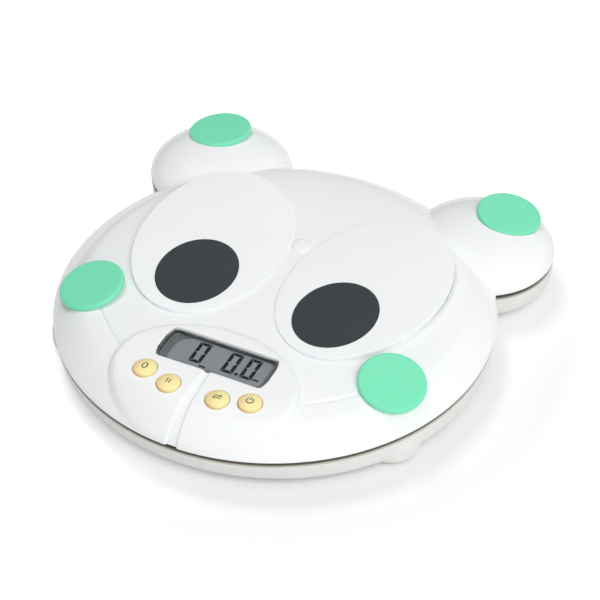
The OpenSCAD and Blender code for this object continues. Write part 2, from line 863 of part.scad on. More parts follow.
// Rails for the load cells, wells for the retaining screws, rails for the cover, tray bosses.
module base_fittings() {
    both_sides() {
        for (front = [true, false]) {
            at_cell(front, bowl_floor_z) for (x = [-1, 1])
                translate([x * cell_screw_x - cell_rail_w / 2, -cell_w / 2, -eps])
                    cube([cell_rail_w, cell_w, cell_rail_h + eps]);
            translate(concat(keep_spot(front), base_z + eps))
                cylinder(r = well_r + base_wall, h = well_z + well_seat_t - base_z - eps);
        }
        translate([cover_w / 2 + fit_gap, bay_y - cover_d / 2, cover_top_z - cover_t - cover_gap])
            cube([rail_w, cover_d, base_z + eps - (cover_top_z - cover_t - cover_gap)]);
        translate([cover_w / 2 + fit_gap - rail_lap, bay_y - cover_d / 2,
                   cover_top_z - cover_t - cover_gap - rail_t])
            cube([rail_w + rail_lap, cover_d, rail_t]);
    }
    translate([-junction_size.x / 2, -junction_y - junction_size.y / 2, bowl_floor_z - eps])
        cube([junction_size.x, junction_size.y, junction_step + eps]);
}

// The battery opening, the screw wells and holes, and the sockets of the rubber feet.
module base_bores() {
    translate([-bay_w / 2, bay_y - bay_d / 2, base_z - 1]) cube([bay_w, bay_d, base_wall + 2]);
    both_sides() for (front = [true, false]) {
        translate(concat(keep_spot(front), base_z - 1)) cylinder(r = well_r, h = well_z - base_z + 1);
        translate(concat(keep_spot(front), base_z)) cylinder(r = keep_hole_r, h = keep_screw_l);
        translate(concat(foot_spot(front), foot_z - 1))
            cylinder(r = sole_r + pin_gap, h = sole_t - foot_z + 1);
        at_cell(front, cell_z + cell_t - cell_screw_l) for (spot = cell_screw_spots())
            translate(spot) cylinder(r = small_screw_r + pin_gap, h = cell_screw_l);
    }
    for (spot = tray_screw_spots())
        translate([spot.x, spot.y, bowl_floor_z + tray_ear_t - tray_screw_l])
            cylinder(r = small_screw_r + pin_gap, h = tray_screw_l);
}

function cell_screw_spots() = [
    for (x = [-1, 1], y = [-1, 1]) [x * cell_screw_x, y * cell_screw_pitch / 2]
];

// A steel plate cut into a frame and a tongue; the tongue carries the load button.
module load_cell(side, front) {
    slot_l = cell_w - 2 * cell_frame_w;
    slot_x = (cell_tongue_w + cell_slot_w) / 2;
    color("silver") at_head() scale_side(side) at_cell(front, cell_z) {
        difference() {
            translate([-cell_w / 2, -cell_w / 2, 0]) cube([cell_w, cell_w, cell_t]);
            for (x = [-1, 1])
                translate([x * slot_x - cell_slot_w / 2, -slot_l / 2, -1])
                    cube([cell_slot_w, slot_l, cell_t + 2]);
            translate([-slot_x - cell_slot_w / 2, slot_l / 2 - cell_slot_w, -1])
                cube([2 * slot_x + cell_slot_w, cell_slot_w, cell_t + 2]);
            for (spot = cell_screw_spots())
                translate(concat(spot, -1)) cylinder(r = small_screw_r + pin_gap, h = cell_t + 2);
        }
        translate([0, 0, cell_t - eps]) cylinder(r = cell_button_r, h = cell_button_h + eps);
    }
}
module front_left_load_cell() { load_cell(left, true); }
module front_right_load_cell() { load_cell(right, true); }
module rear_left_load_cell() { load_cell(left, false); }
module rear_right_load_cell() { load_cell(right, false); }

module load_cell_screws() {
    color("silver") at_head() both_sides() for (front = [true, false])
        at_cell(front, cell_z + cell_t) for (spot = cell_screw_spots())
            translate(spot) mirror([0, 0, 1])
                screw(small_screw_r, cell_screw_l, small_head_r, small_head_h);
}

module foot(side, front) {
    color("darkgray") at_head() scale_side(side) translate(foot_spot(front))
        rotate_extrude()
            polygon([[0, 0], [sole_r - 1, 0], [sole_r, 1], [sole_r, sole_t], [0, sole_t]]);
}
module front_left_foot() { foot(left, true); }
module front_right_foot() { foot(right, true); }
module rear_left_foot() { foot(left, false); }
module rear_right_foot() { foot(right, false); }

// ---------- battery bay ----------

function tray_screw_spots() = [
    for (x = [-1, 1], y = [-1, 1])
        [x * (bay_w / 2 + tray_wall + tray_ear_w / 2), bay_y + y * tray_ear_y]
];

// An upturned box over the batteries, with four ears screwed to the base's floor.
module battery_tray() {
    color("white") at_head() difference() {
        union() {
            translate([-bay_w / 2 - tray_wall, bay_y - bay_d / 2 - tray_wall, bowl_floor_z])
                cube([bay_w + 2 * tray_wall, bay_d + 2 * tray_wall, tray_in_z + tray_wall - bowl_floor_z]);
            for (spot = tray_screw_spots())
                translate([spot.x - tray_ear_w / 2 - 1, spot.y - tray_ear_w / 2, bowl_floor_z])
                    cube([tray_ear_w + 2, tray_ear_w, tray_ear_t]);
        }
        translate([-bay_w / 2, bay_y - bay_d / 2, bowl_floor_z - 1])
            cube([bay_w, bay_d, tray_in_z - bowl_floor_z + 1]);
        for (spot = tray_screw_spots())
            translate([spot.x, spot.y, bowl_floor_z - 1])
                cylinder(r = small_screw_r + pin_gap, h = tray_ear_t + 2);
    }
}

module battery_tray_screws() {
    color("silver") at_head() for (spot = tray_screw_spots())
        translate([spot.x, spot.y, bowl_floor_z + tray_ear_t]) mirror([0, 0, 1])
            screw(small_screw_r, tray_screw_l, small_head_r, small_head_h);
}

function battery_x(i) = (i - (cell_n - 1) / 2) * (cell_d + cell_gap);

// Places its child at battery i, pointing to the positive end; neighbours point opposite ways.
module at_battery(i) {
    translate([battery_x(i), bay_y, battery_z])
        rotate([i % 2 == 0 ? -90 : 90, 0, 0])
            children();
}

module batteries() {
    color("goldenrod") at_head() for (i = [0 : cell_n - 1]) at_battery(i) {
        translate([0, 0, -cell_l / 2]) cylinder(r = cell_d / 2, h = cell_l);
        translate([0, 0, cell_l / 2 - eps]) cylinder(r = nub_r, h = nub_h + eps);
    }
}

// A plate on the bay's end wall with a conical spring that meets the battery's flat end.
module spring_contacts() {
    color("silver") at_head() for (i = [0 : cell_n - 1]) at_battery(i) {
        translate([-contact_w / 2, -contact_w / 2, -bay_d / 2]) cube([contact_w, contact_w, contact_t]);
        translate([0, 0, -bay_d / 2 + contact_t - eps])
            rotate_extrude()
                polygon([[4.2, 0], [5, 0], [3, contact_room - contact_t + eps],
                         [2.2, contact_room - contact_t + eps]]);
    }
}

module flat_contacts() {
    color("silver") at_head() for (i = [0 : cell_n - 1]) at_battery(i) {
        translate([-contact_w / 2, -contact_w / 2, bay_d / 2 - contact_t])
            cube([contact_w, contact_w, contact_t]);
        translate([0, 0, cell_l / 2 + nub_h]) cylinder(r = 3, h = contact_room - nub_h - contact_t + eps);
    }
}

// A sliding plate under the bay, with a thumb recess of three ribs near its front edge.
module battery_cover() {
    rib_w = 22;
    color("gainsboro") at_head() difference() {
        translate([-cover_w / 2, bay_y - cover_d / 2, cover_top_z - cover_t])
            cube([cover_w, cover_d, cover_t]);
        for (i = [0 : 3])
            translate([-rib_w / 2, bay_y - cover_d / 2 + 6 + 3 * i, cover_top_z - cover_t - 1])
                cube([rib_w, 1.4, 1.6]);
    }
}

// ---------- leads ----------

module lead_junction() {
    color("ivory") at_head()
        translate([-junction_size.x / 2, -junction_y - junction_size.y / 2, bowl_floor_z + junction_step])
            cube(junction_size);
}

// A flat lead laid along straight runs on the base's floor.
module lead(points) {
    for (i = [0 : len(points) - 2]) {
        run = points[i + 1] - points[i];
        translate(concat(points[i], bowl_floor_z)) rotate([0, 0, atan2(run.y, run.x)])
            translate([0, -lead_w / 2, 0]) cube([norm(run), lead_w, lead_t]);
    }
    if (len(points) > 2)
        for (i = [1 : len(points) - 2])
            translate(concat(points[i], bowl_floor_z)) cylinder(r = lead_w / 2 + lead_swell, h = lead_t);
}

// The point that lies d inwards from a load cell's inner edge.
function cell_end(front, d) =
    let (a = cell_turn(front), r = cell_w / 2 + d) pad_spot(front) - r * [cos(a), sin(a)];

module cell_leads() {
    jx = junction_size.x / 2;
    color("firebrick") at_head() both_sides() {
        lead([cell_end(true, 0), cell_end(true, lead_bend), [lead_side_x, -junction_y - lead_step],
              [jx, -junction_y - lead_step]]);
        lead([cell_end(false, 0), cell_end(false, lead_bend), [lead_side_x, lead_rear_y],
              [lead_side_x, -lead_rear_y / 2], [jx + lead_bend, -junction_y + lead_step],
              [jx, -junction_y + lead_step]]);
    }
}

module battery_leads() {
    color("black") at_head()
        lead([[0, bay_y - bay_d / 2 - tray_wall], [0, -junction_y + junction_size.y / 2]]);
}

// The flexible ribbon from the junction on the base up to the circuit board.
module board_ribbon() {
    low_z = bowl_floor_z + junction_step + junction_size.z;
    color("lightgray") at_head()
        translate([-ribbon_w / 2, -junction_y - ribbon_t / 2, low_z])
            cube([ribbon_w, ribbon_t, board_under_z - low_z]);
}

platform_shell();
left_foot_plate();
right_foot_plate();
left_grip_patch();
right_grip_patch();
centre_plug();
left_cheek_pad();
right_cheek_pad();
left_ear_pad();
right_ear_pad();
display_window();
display_frame();
display_panel();
display_contact_strips();
main_board();
controller_chip();
zero_button();
hold_button();
unit_button();
power_button();
zero_button_spring();
hold_button_spring();
unit_button_spring();
power_button_spring();
key_switches();
board_screws();
retaining_screws();
base_shell();
front_left_load_cell();
front_right_load_cell();
rear_left_load_cell();
rear_right_load_cell();
load_cell_screws();
front_left_foot();
front_right_foot();
rear_left_foot();
rear_right_foot();
battery_tray();
battery_tray_screws();
batteries();
spring_contacts();
flat_contacts();
battery_cover();
lead_junction();
cell_leads();
battery_leads();
board_ribbon();
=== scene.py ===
"""Baby and toddler weighing scale shaped like an animal's head, dressed around its fixed frame.

Sizes in the classes are millimetres about the centre of the round head, with +Z up and the front
towards -Y. A Draft turns them into metres in the frame's own place when it becomes a mesh.
"""
import logging
import math
from dataclasses import dataclass, field
from enum import Enum
from typing import Callable, ClassVar, Sequence

import bmesh
import bpy
import numpy as np
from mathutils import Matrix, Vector
from mathutils.geometry import delaunay_2d_cdt
from mathutils.kdtree import KDTree


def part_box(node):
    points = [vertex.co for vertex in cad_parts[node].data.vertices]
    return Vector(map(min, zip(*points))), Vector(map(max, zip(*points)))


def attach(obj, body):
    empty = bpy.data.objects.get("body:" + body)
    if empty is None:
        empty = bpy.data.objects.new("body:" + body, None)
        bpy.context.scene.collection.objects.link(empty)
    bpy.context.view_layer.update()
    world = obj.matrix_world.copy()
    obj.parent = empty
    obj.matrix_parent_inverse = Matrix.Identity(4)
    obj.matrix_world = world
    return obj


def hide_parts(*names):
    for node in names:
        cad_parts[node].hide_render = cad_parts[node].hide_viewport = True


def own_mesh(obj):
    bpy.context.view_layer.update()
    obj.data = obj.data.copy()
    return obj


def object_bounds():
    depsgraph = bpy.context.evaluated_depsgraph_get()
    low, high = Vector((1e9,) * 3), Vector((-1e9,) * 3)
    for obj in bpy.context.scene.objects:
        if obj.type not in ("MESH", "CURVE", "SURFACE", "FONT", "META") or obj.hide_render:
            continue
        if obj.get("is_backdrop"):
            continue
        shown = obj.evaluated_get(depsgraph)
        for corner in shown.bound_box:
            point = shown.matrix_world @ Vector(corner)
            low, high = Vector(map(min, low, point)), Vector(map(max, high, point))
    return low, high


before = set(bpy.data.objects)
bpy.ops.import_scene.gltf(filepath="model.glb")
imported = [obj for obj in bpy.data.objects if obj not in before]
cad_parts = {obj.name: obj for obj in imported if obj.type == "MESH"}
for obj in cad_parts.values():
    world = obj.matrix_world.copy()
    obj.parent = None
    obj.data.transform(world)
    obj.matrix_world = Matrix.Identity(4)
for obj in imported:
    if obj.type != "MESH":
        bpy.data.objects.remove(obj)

LOG = logging.getLogger("weighing_scale")
MM = 0.001
BUTTON_NAMES = ("zero", "hold", "unit", "power")
RING_STEPS = 96
CORNER_STEPS = 8
EDGE_SPACING = 1.6
MERGE_DISTANCE = 1e-5
HALVINGS = 40
MM_PER_M = 1000.0

Pair = tuple[float, float]
Triple = tuple[float, float, float]
Bounds = tuple[Sequence[float], Sequence[float]]
Lift = Callable[[np.ndarray], np.ndarray]
Row = Sequence[int]


class Body(Enum):
    """Moving bodies that a piece can ride on."""

    BASE = "base"
    PLATFORM = "platform"
    ZERO = "zero_key"
    HOLD = "hold_key"
    UNIT = "unit_key"
    POWER = "power_key"


class Side(Enum):
    """Left and right half of the scale."""

    LEFT = -1.0
    RIGHT = 1.0


def linear(channel: float) -> float:
    """Turns one display colour channel, 0 to 255, into a linear value, 0 to 1."""
    value = channel / 255.0
    return value / 12.92 if value <= 0.04045 else ((value + 0.055) / 1.055) ** 2.4


def rgba(colour: Triple) -> tuple[float, float, float, float]:
    """Turns a display colour, 0 to 255 a channel, into linear RGBA with full alpha."""
    return (*[linear(channel) for channel in colour], 1.0)


def smooth(value: np.ndarray) -> np.ndarray:
    """Eases values from 0 to 1 with flat ends; what lies outside is clipped."""
    clipped = np.clip(value, 0.0, 1.0)
    return clipped * clipped * (3.0 - 2.0 * clipped)


def around(count: int) -> np.ndarray:
    """Gives evenly spaced angles of a full turn."""
    return np.linspace(0.0, 2.0 * math.pi, count, endpoint=False)


def polar(reach: float | np.ndarray, angles: np.ndarray) -> np.ndarray:
    """Gives the spots, (n, 2), at distances and angles about the origin."""
    return np.column_stack([reach * np.cos(angles), reach * np.sin(angles)])


def at_height(spots: np.ndarray, z: float | np.ndarray) -> np.ndarray:
    """Puts flat spots, (n, 2), in space at one height, or each at its own."""
    return np.column_stack([spots, np.broadcast_to(z, len(spots))])


def unit_rows(vectors: np.ndarray) -> np.ndarray:
    """Scales each row to length 1."""
    return vectors / np.linalg.norm(vectors, axis=1, keepdims=True)


def across_of(path: np.ndarray) -> np.ndarray:
    """Finds the unit normals to the right of an open path, (n, 2)."""
    along = np.gradient(path, axis=0)
    return unit_rows(np.column_stack([along[:, 1], -along[:, 0]]))


def inside(loop: np.ndarray, spots: np.ndarray) -> np.ndarray:
    """Tells which spots lie inside a closed loop.

    Args:
        loop: Corners of the loop, (n, 2).
        spots: Spots to test, (m, 2).

    Returns:
        True for each spot inside.
    """
    x, y = spots[:, 0], spots[:, 1]
    result = np.zeros(len(spots), dtype=bool)
    before = loop[-1]
    for here in loop:
        rise = before[1] - here[1]
        crosses = (here[1] > y) != (before[1] > y)
        at = (before[0] - here[0]) * (y - here[1]) / (rise if rise else 1e-12) + here[0]
        result ^= crosses & (x < at)
        before = here
    return result


def normals_of(loop: np.ndarray) -> np.ndarray:
    """Finds the outward normals of a counterclockwise loop."""
    along = unit_rows(np.roll(loop, -1, axis=0) - np.roll(loop, 1, axis=0))
    return np.column_stack([along[:, 1], -along[:, 0]])


def oval_loop(centre: Pair, half: Pair, lean: float, count: int) -> np.ndarray:
    """Lays out an oval, counterclockwise.

    Args:
        centre: Middle of the oval.
        half: Half sizes across and along.
        lean: Angle in degrees by which the long axis leans towards +X at the rear.
        count: Number of points.

    Returns:
        Points, (count, 2).
    """
    flat = polar(1.0, around(count)) * np.array(half)
    angle = math.radians(-lean)
    spin = np.array([[math.cos(angle), math.sin(angle)], [-math.sin(angle), math.cos(angle)]])
    return flat @ spin + np.array(centre)


def rounded_loop(centre: Pair, half: Pair, corners: Sequence[float],
                 bulge: float = 0.0) -> np.ndarray:
    """Lays out a rectangle with rounded corners, counterclockwise from the front left corner.

    Args:
        centre: Middle of the rectangle.
        half: Half width and half depth.
        corners: Radii of the corners: front left, front right, rear right, rear left.
        bulge: Radius of an arc that trims both ends, or 0 for straight ends.

    Returns:
        Points, (n, 2).
    """
    signs = [(-1.0, -1.0, 180.0), (1.0, -1.0, 270.0), (1.0, 1.0, 0.0), (-1.0, 1.0, 90.0)]
    points: list[Pair] = []
    for (sx, sy, start), radius in zip(signs, corners):
        for step in range(CORNER_STEPS + 1):
            angle = math.radians(start + 90.0 * step / CORNER_STEPS)
            points.append((sx * (half[0] - radius) + radius * math.cos(angle),
                           sy * (half[1] - radius) + radius * math.sin(angle)))
    spread: list[Pair] = []
    for here, after in zip(points, points[1:] + points[:1]):
        parts = max(1, int(math.dist(here, after) / EDGE_SPACING))
        spread += [(here[0] + (after[0] - here[0]) * k / parts,
                    here[1] + (after[1] - here[1]) * k / parts) for k in range(parts)]
    loop = np.array(spread)
    if bulge:
        reach = np.sqrt(np.clip(bulge ** 2 - loop[:, 1] ** 2, 0.0, None))
        loop[:, 0] = np.clip(loop[:, 0], -reach, reach)
    return loop + np.array(centre)


class Sheet:
    """Flat layout that is cut into triangles, each of its points with a place in space."""

    def __init__(self) -> None:
        """Starts an empty layout."""
        self.flat: list[np.ndarray] = []
        self.place: list[np.ndarray] = []
        self.edges: list[tuple[int, int]] = []
        self.count = 0

    def add(self, flat: np.ndarray, place: np.ndarray) -> list[int]:
        """Adds points.

        Args:
            flat: Where the points lie in the layout, (n, 2).
            place: Where they lie in space, (n, 3).

        Returns:
            Numbers of the points.
        """
        first = self.count
        self.flat.append(np.asarray(flat, dtype=float))
        self.place.append(np.asarray(place, dtype=float))
        self.count += len(flat)
        return list(range(first, self.count))

    def line(self, row: Row, closed: bool = False) -> None:
        """Keeps an edge between neighbouring points of a row.

        Args:
            row: Numbers of the points.
            closed: Whether the last point joins the first.
        """
        self.edges += list(zip(row, row[1:]))
        if closed:
            self.edges.append((row[-1], row[0]))

    def draw(self, flat: np.ndarray, place: np.ndarray, closed: bool = True) -> list[int]:
        """Adds points with an edge between neighbours.

        Args:
            flat: Where the points lie in the layout, (n, 2).
            place: Where they lie in space, (n, 3).
            closed: Whether the last point joins the first.

        Returns:
            Numbers of the points.
        """
        row = self.add(flat, place)
        self.line(row, closed)
        return row

    def scatter(self, spots: np.ndarray, lift: Lift, clear: float) -> None:
        """Adds loose points that keep clear of what is there.

        Args:
            spots: Spots in the layout, (n, 2).
            lift: Gives the place in space of each spot.
            clear: Least distance from the points that are there.
        """
        tree = KDTree(self.count)
        for number, spot in enumerate(np.concatenate(self.flat)):
            tree.insert((spot[0], spot[1], 0.0), number)
        tree.balance()
        far = [tree.find((spot[0], spot[1], 0.0))[2] > clear for spot in spots]
        kept = spots[np.array(far, dtype=bool)]
        if len(kept):
            self.add(kept, lift(kept))

    def cut(self, border: Row, holes: Sequence[Row],
            lift: Lift) -> tuple[np.ndarray, list[tuple[int, int, int]]]:
        """Cuts the layout into triangles inside its border and outside its holes.

        Args:
            border: Numbers of the border's points, in order.
            holes: Numbers of each hole's points, in order.
            lift: Gives the place in space of points that crossing lines add.

        Returns:
            All places in space, and the triangles.
        """
        flat = np.concatenate(self.flat)
        place = np.concatenate(self.place)
        found = delaunay_2d_cdt([Vector((p[0], p[1])) for p in flat], self.edges, [], 0,
                                 MERGE_DISTANCE)
        source = [origin[0] if origin else -1 for origin in found[3]]
        fresh = np.array([[v[0], v[1]] for v, s in zip(found[0], source) if s < 0])
        fresh = fresh.reshape(-1, 2)
        if len(fresh):
            numbers = iter(range(len(flat), len(flat) + len(fresh)))
            source = [s if s >= 0 else next(numbers) for s in source]
            flat = np.concatenate([flat, fresh])
            place = np.concatenate([place, lift(fresh)])
        faces = np.array([[source[k] for k in face] for face in found[2]])
        middle = flat[faces].mean(axis=1)
        keep = inside(flat[list(border)], middle)
        for hole in holes:
            keep &= ~inside(flat[list(hole)], middle)
        return place, [tuple(int(k) for k in face) for face in faces[keep]]


class Draft:
    """Points and faces in millimetres that are gathered before they become one mesh."""

    def __init__(self) -> None:
        """Starts an empty draft."""
        self.points: list[np.ndarray] = []
        self.faces: list[tuple[int, ...]] = []
        self.crisp: list[tuple[int, int]] = []
        self.count = 0

    def add(self, points: np.ndarray) -> list[int]:
        """Adds points.

        Args:
            points: Places in space, (n, 3).

        Returns:
            Numbers of the points.
        """
        first = self.count
        self.points.append(np.asarray(points, dtype=float))
        self.count += len(points)
        return list(range(first, self.count))

    def strip(self, low: Row, high: Row, closed: bool = True) -> None:
        """Joins two rows of equal length with four-sided faces.

        Args:
            low: Numbers of the first row's points.
            high: Numbers of the second row's points.
            closed: Whether the rows are loops.
        """
        last = len(low) if closed else len(low) - 1
        for k in range(last):
            n = (k + 1) % len(low)
            self.faces.append((low[k], low[n], high[n], high[k]))

    def loft(self, rows: Sequence[np.ndarray], closed: bool = True,
             ring: bool = False) -> list[list[int]]:
        """Joins rows of points into a skin.

        Args:
            rows: Rows of places in space, each (n, 3).
            closed: Whether each row is a loop.
            ring: Whether the last row joins the first.

        Returns:
            Numbers of each row's points.
        """
        made = [self.add(row) for row in rows]
        for low, high in zip(made, made[1:]):
            self.strip(low, high, closed)
        if ring:
            self.strip(made[-1], made[0], closed)
        return made

    def cap(self, row: Row) -> None:
        """Closes a row with a fan of triangles about its middle.

        Args:
            row: Numbers of the loop's points.
        """
        everything = np.concatenate(self.points)
        centre = self.add(everything[list(row)].mean(axis=0)[None, :])[0]
        for k in range(len(row)):
            self.faces.append((row[k], row[(k + 1) % len(row)], centre))

    def lathe(self, profile: Sequence[Pair], place: Lift, steps: int = RING_STEPS) -> None:
        """Turns a half profile into a closed body; the profile starts and ends on the axis.

        Args:
            profile: Radius and height of each point.
            place: Puts points of the turned body in space.
            steps: Number of facets around.
        """
        turn = around(steps)
        made = self.loft([place(at_height(polar(r, turn), z)) for r, z in profile])
        self.cap(made[0])
        self.cap(made[-1])

    def bridge(self, outer: list[int], inner: list[int]) -> None:
        """Fills the level ring between two loops of this draft.

        Args:
            outer: Numbers of the outer loop's points.
            inner: Numbers of the inner loop's points.
        """
        places = np.concatenate(self.points)
        layout = Sheet()
        border, hole = [layout.draw(places[row][:, :2], places[row]) for row in (outer, inner)]
        _, faces = layout.cut(border, [hole], lambda s: at_height(s, places[outer[0], 2]))
        number = outer + inner
        self.faces += [tuple(number[k] for k in face) for face in faces]

    def sheet(self, layout: Sheet, border: Row, holes: Sequence[Row], lift: Lift) -> int:
        """Adds a cut layout.

        Args:
            layout: The layout to cut.
            border: Numbers of the border's points.
            holes: Numbers of each hole's points.
            lift: Gives the place in space of points that crossing lines add.

        Returns:
            What to add to a number of the layout to get its number here.
        """
        place, faces = layout.cut(border, holes, lift)
        first = self.add(place)[0]
        self.faces += [tuple(k + first for k in face) for face in faces]
        return first

    def line_inner(self, hollow: Lift, loops: Sequence[Row]) -> None:
        """Gives the skin a thickness: an inner copy, joined to it along its open loops.

        Args:
            hollow: Gives the inner place of each point.
            loops: Numbers of each open loop's points.
        """
        outer = np.concatenate(self.points)
        shift = self.add(hollow(outer))[0]
        self.faces += [tuple(k + shift for k in reversed(face)) for face in list(self.faces)]
        for loop in loops:
            self.strip(loop, [k + shift for k in loop])

    def build(self, name: str, body: Body, slot: str, finish: bpy.types.Material,
              stands_for: Sequence[str] = (), crease: float = 32.0) -> bpy.types.Object:
        """Makes the mesh object, hides the frame's nodes that it replaces and hangs it on its
        body's empty.

        Args:
            name: Name of the piece.
            body: Body that it rides on.
            slot: Not used.
            finish: Its material.
            stands_for: Nodes of the frame that it replaces.
            crease: Angle in degrees beyond which an edge stays sharp.

        Returns:
            The object.
        """
        places = np.concatenate(self.points) * MM
        places[:, 1] += Platform.shift * MM
        mesh = bpy.data.meshes.new(name)
        mesh.from_pydata(places.tolist(), [], self.faces)
        mesh.validate()
        recalculate_normals(mesh)
        mesh.shade_smooth()
        mesh.set_sharp_from_angle(angle=math.radians(crease))
        self.mark_crisp(mesh)
        mesh.materials.append(finish)
        piece = bpy.data.objects.new(name, mesh)
        bpy.context.scene.collection.objects.link(piece)
        if stands_for:
            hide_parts(*stands_for)
        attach(piece, body.value)
        LOG.info("%s: %d faces on %s", name, len(mesh.polygons), body.value)
        return piece

    def mark_crisp(self, mesh: bpy.types.Mesh) -> None:
        """Marks the edges that stay sharp whatever their angle.

        Args:
            mesh: The mesh that was made from this draft.
        """
        if not self.crisp:
            return
        wanted = {tuple(sorted(edge)) for edge in self.crisp}
        sharp = mesh.attributes.get("sharp_edge")
        sharp = sharp or mesh.attributes.new("sharp_edge", "BOOLEAN", "EDGE")
        for edge in mesh.edges:
            if tuple(sorted(edge.vertices)) in wanted:
                sharp.data[edge.index].value = True


def recalculate_normals(mesh: bpy.types.Mesh) -> None:
    """Turns all faces of closed skins outwards.

    Args:
        mesh: The mesh to mend.
    """
    work = bmesh.new()
    work.from_mesh(mesh)
    bmesh.ops.recalc_face_normals(work, faces=work.faces)
    work.to_mesh(mesh)
    work.free()


# ---------------------------------------------------------------------------------------------
# Finishes
# ---------------------------------------------------------------------------------------------


def fill_sockets(node: bpy.types.Node, values: dict[str, object]) -> None:
    """Sets plain values on a node's input sockets, each by the socket's name."""
    for label, value in values.items():
        node.inputs[label].default_value = value


class NodeBoard:
    """Places and wires shader nodes in one tree."""

    def __init__(self, tree: bpy.types.NodeTree) -> None:
        """Takes the node tree of a material, group or world."""
        self.tree = tree
        self.column = 0

    def node(self, kind: str, **settings: object) -> bpy.types.Node:
        """Adds a node.

        Args:
            kind: Type name of the node.
            settings: Properties to set on it.

        Returns:
            The node.
        """
        made = self.tree.nodes.new(kind)
        made.location = (180.0 * self.column, -40.0 * (self.column % 5))
        self.column += 1
        for name, value in settings.items():
            setattr(made, name, value)
        return made

    def wire(self, out: bpy.types.NodeSocket, into: bpy.types.NodeSocket) -> None:
        """Joins the socket that gives to the one that takes."""
        self.tree.links.new(out, into)

    def feed(self, value: object, into: bpy.types.NodeSocket) -> None:
        """Joins a socket to another, or sets a plain value on it.

        Args:
            value: The value, or the socket that gives it.
            into: Socket that takes it.
        """
        if isinstance(value, bpy.types.NodeSocket):
            self.wire(value, into)
        else:
            into.default_value = value

    def object_space(self) -> bpy.types.NodeSocket:
        """Adds the coordinates of the object's own space."""
        return self.node("ShaderNodeTexCoord").outputs["Object"]

    def split(self, vector: bpy.types.NodeSocket) -> bpy.types.bpy_prop_collection:
        """Takes a vector apart into its outputs X, Y and Z."""
        parts = self.node("ShaderNodeSeparateXYZ")
        self.wire(vector, parts.inputs[0])
        return parts.outputs

    def cloud(self, scale: object, detail: float, distortion: float = 0.0,
              vector: bpy.types.NodeSocket | None = None) -> bpy.types.NodeSocket:
        """Adds a noise texture.

        Args:
            scale: Its scale, a value or a socket.
            detail: Its levels of detail.
            distortion: How far it is bent.
            vector: Its coordinates, those of the object's own space if none are given.

        Returns:
            Socket of the noise, 0 to 1.
        """
        noise = self.node("ShaderNodeTexNoise", noise_dimensions="3D")
        fill_sockets(noise, {"Detail": detail, "Distortion": distortion})
        self.wire(vector or self.object_space(), noise.inputs["Vector"])
        self.feed(scale, noise.inputs["Scale"])
        return noise.outputs["Fac"]

    def along(self, vector: bpy.types.NodeSocket, way: Triple) -> bpy.types.NodeSocket:
        """Gives how far a vector reaches along a fixed way.

        Args:
            vector: Socket of the vector.
            way: The way.

        Returns:
            Socket of the distance.
        """
        facing = self.node("ShaderNodeVectorMath", operation="DOT_PRODUCT")
        self.wire(vector, facing.inputs[0])
        facing.inputs[1].default_value = way
        return facing.outputs["Value"]

    def spread(self, value: bpy.types.NodeSocket, source: Pair,
               result: Pair) -> bpy.types.NodeSocket:
        """Eases a value from one range to another.

        Args:
            value: Socket of the value.
            source: Range that it comes in.
            result: Range that it goes to.

        Returns:
            Socket of the eased value.
        """
        made = self.node("ShaderNodeMapRange", interpolation_type="SMOOTHSTEP")
        self.wire(value, made.inputs["Value"])
        labels = ("From Min", "From Max", "To Min", "To Max")
        fill_sockets(made, dict(zip(labels, (*source, *result))))
        return made.outputs["Result"]

    def seen(self) -> bpy.types.NodeSocket:
        """Gives 1 where the camera sees a surface, also through something clear."""
        path = self.node("ShaderNodeLightPath")
        clear = path.outputs["Is Transmission Ray"]
        return self.sums("MAXIMUM", path.outputs["Is Camera Ray"], clear)

    def sums(self, operation: str, first: object, second: object,
             third: object = None) -> bpy.types.NodeSocket:
        """Adds one step of arithmetic.

        Args:
            operation: Name of the operation.
            first: First value or socket.
            second: Second value or socket.
            third: Third value or socket, if the operation has one.

        Returns:
            Socket of the result.
        """
        step = self.node("ShaderNodeMath", operation=operation)
        for socket, value in zip(step.inputs, (first, second, third)):
            if value is not None:
                self.feed(value, socket)
        return step.outputs[0]

    def blend(self, share: object, first: object, second: object,
              mode: str = "MIX") -> bpy.types.NodeSocket:
        """Blends two colours.

        Args:
            share: Share of the second colour.
            first: First colour or socket.
            second: Second colour or socket.
            mode: Name of the way to blend.

        Returns:
            Socket of the blended colour.
        """
        mixer = self.node("ShaderNodeMix", data_type="RGBA", blend_type=mode)
        for number, value in ((0, share), (6, first), (7, second)):
            self.feed(value, mixer.inputs[number])
        return mixer.outputs[2]


def new_group(name: str, inputs: dict[str, object],
              output: str) -> tuple[NodeBoard, bpy.types.Node, bpy.types.NodeSocket]:
    """Starts a shader node group; a socket named Colour is a colour, any other a number.

    Args:
        name: Name of the group.
        inputs: Name and default of each input.
        output: Name of its one output.

    Returns:
        A board on the group, the group's input node, and the socket that takes its result.
    """
    group = bpy.data.node_groups.new(name, "ShaderNodeTree")
    kinds = {"Colour": "NodeSocketColor"}
    for label, default in inputs.items():
        kind = kinds.get(label, "NodeSocketFloat")
        socket = group.interface.new_socket(name=label, in_out="INPUT", socket_type=kind)
        socket.default_value = default
    kind = kinds.get(output, "NodeSocketFloat")
    group.interface.new_socket(name=output, in_out="OUTPUT", socket_type=kind)
    board = NodeBoard(group)
    return board, board.node("NodeGroupInput"), board.node("NodeGroupOutput").inputs[output]


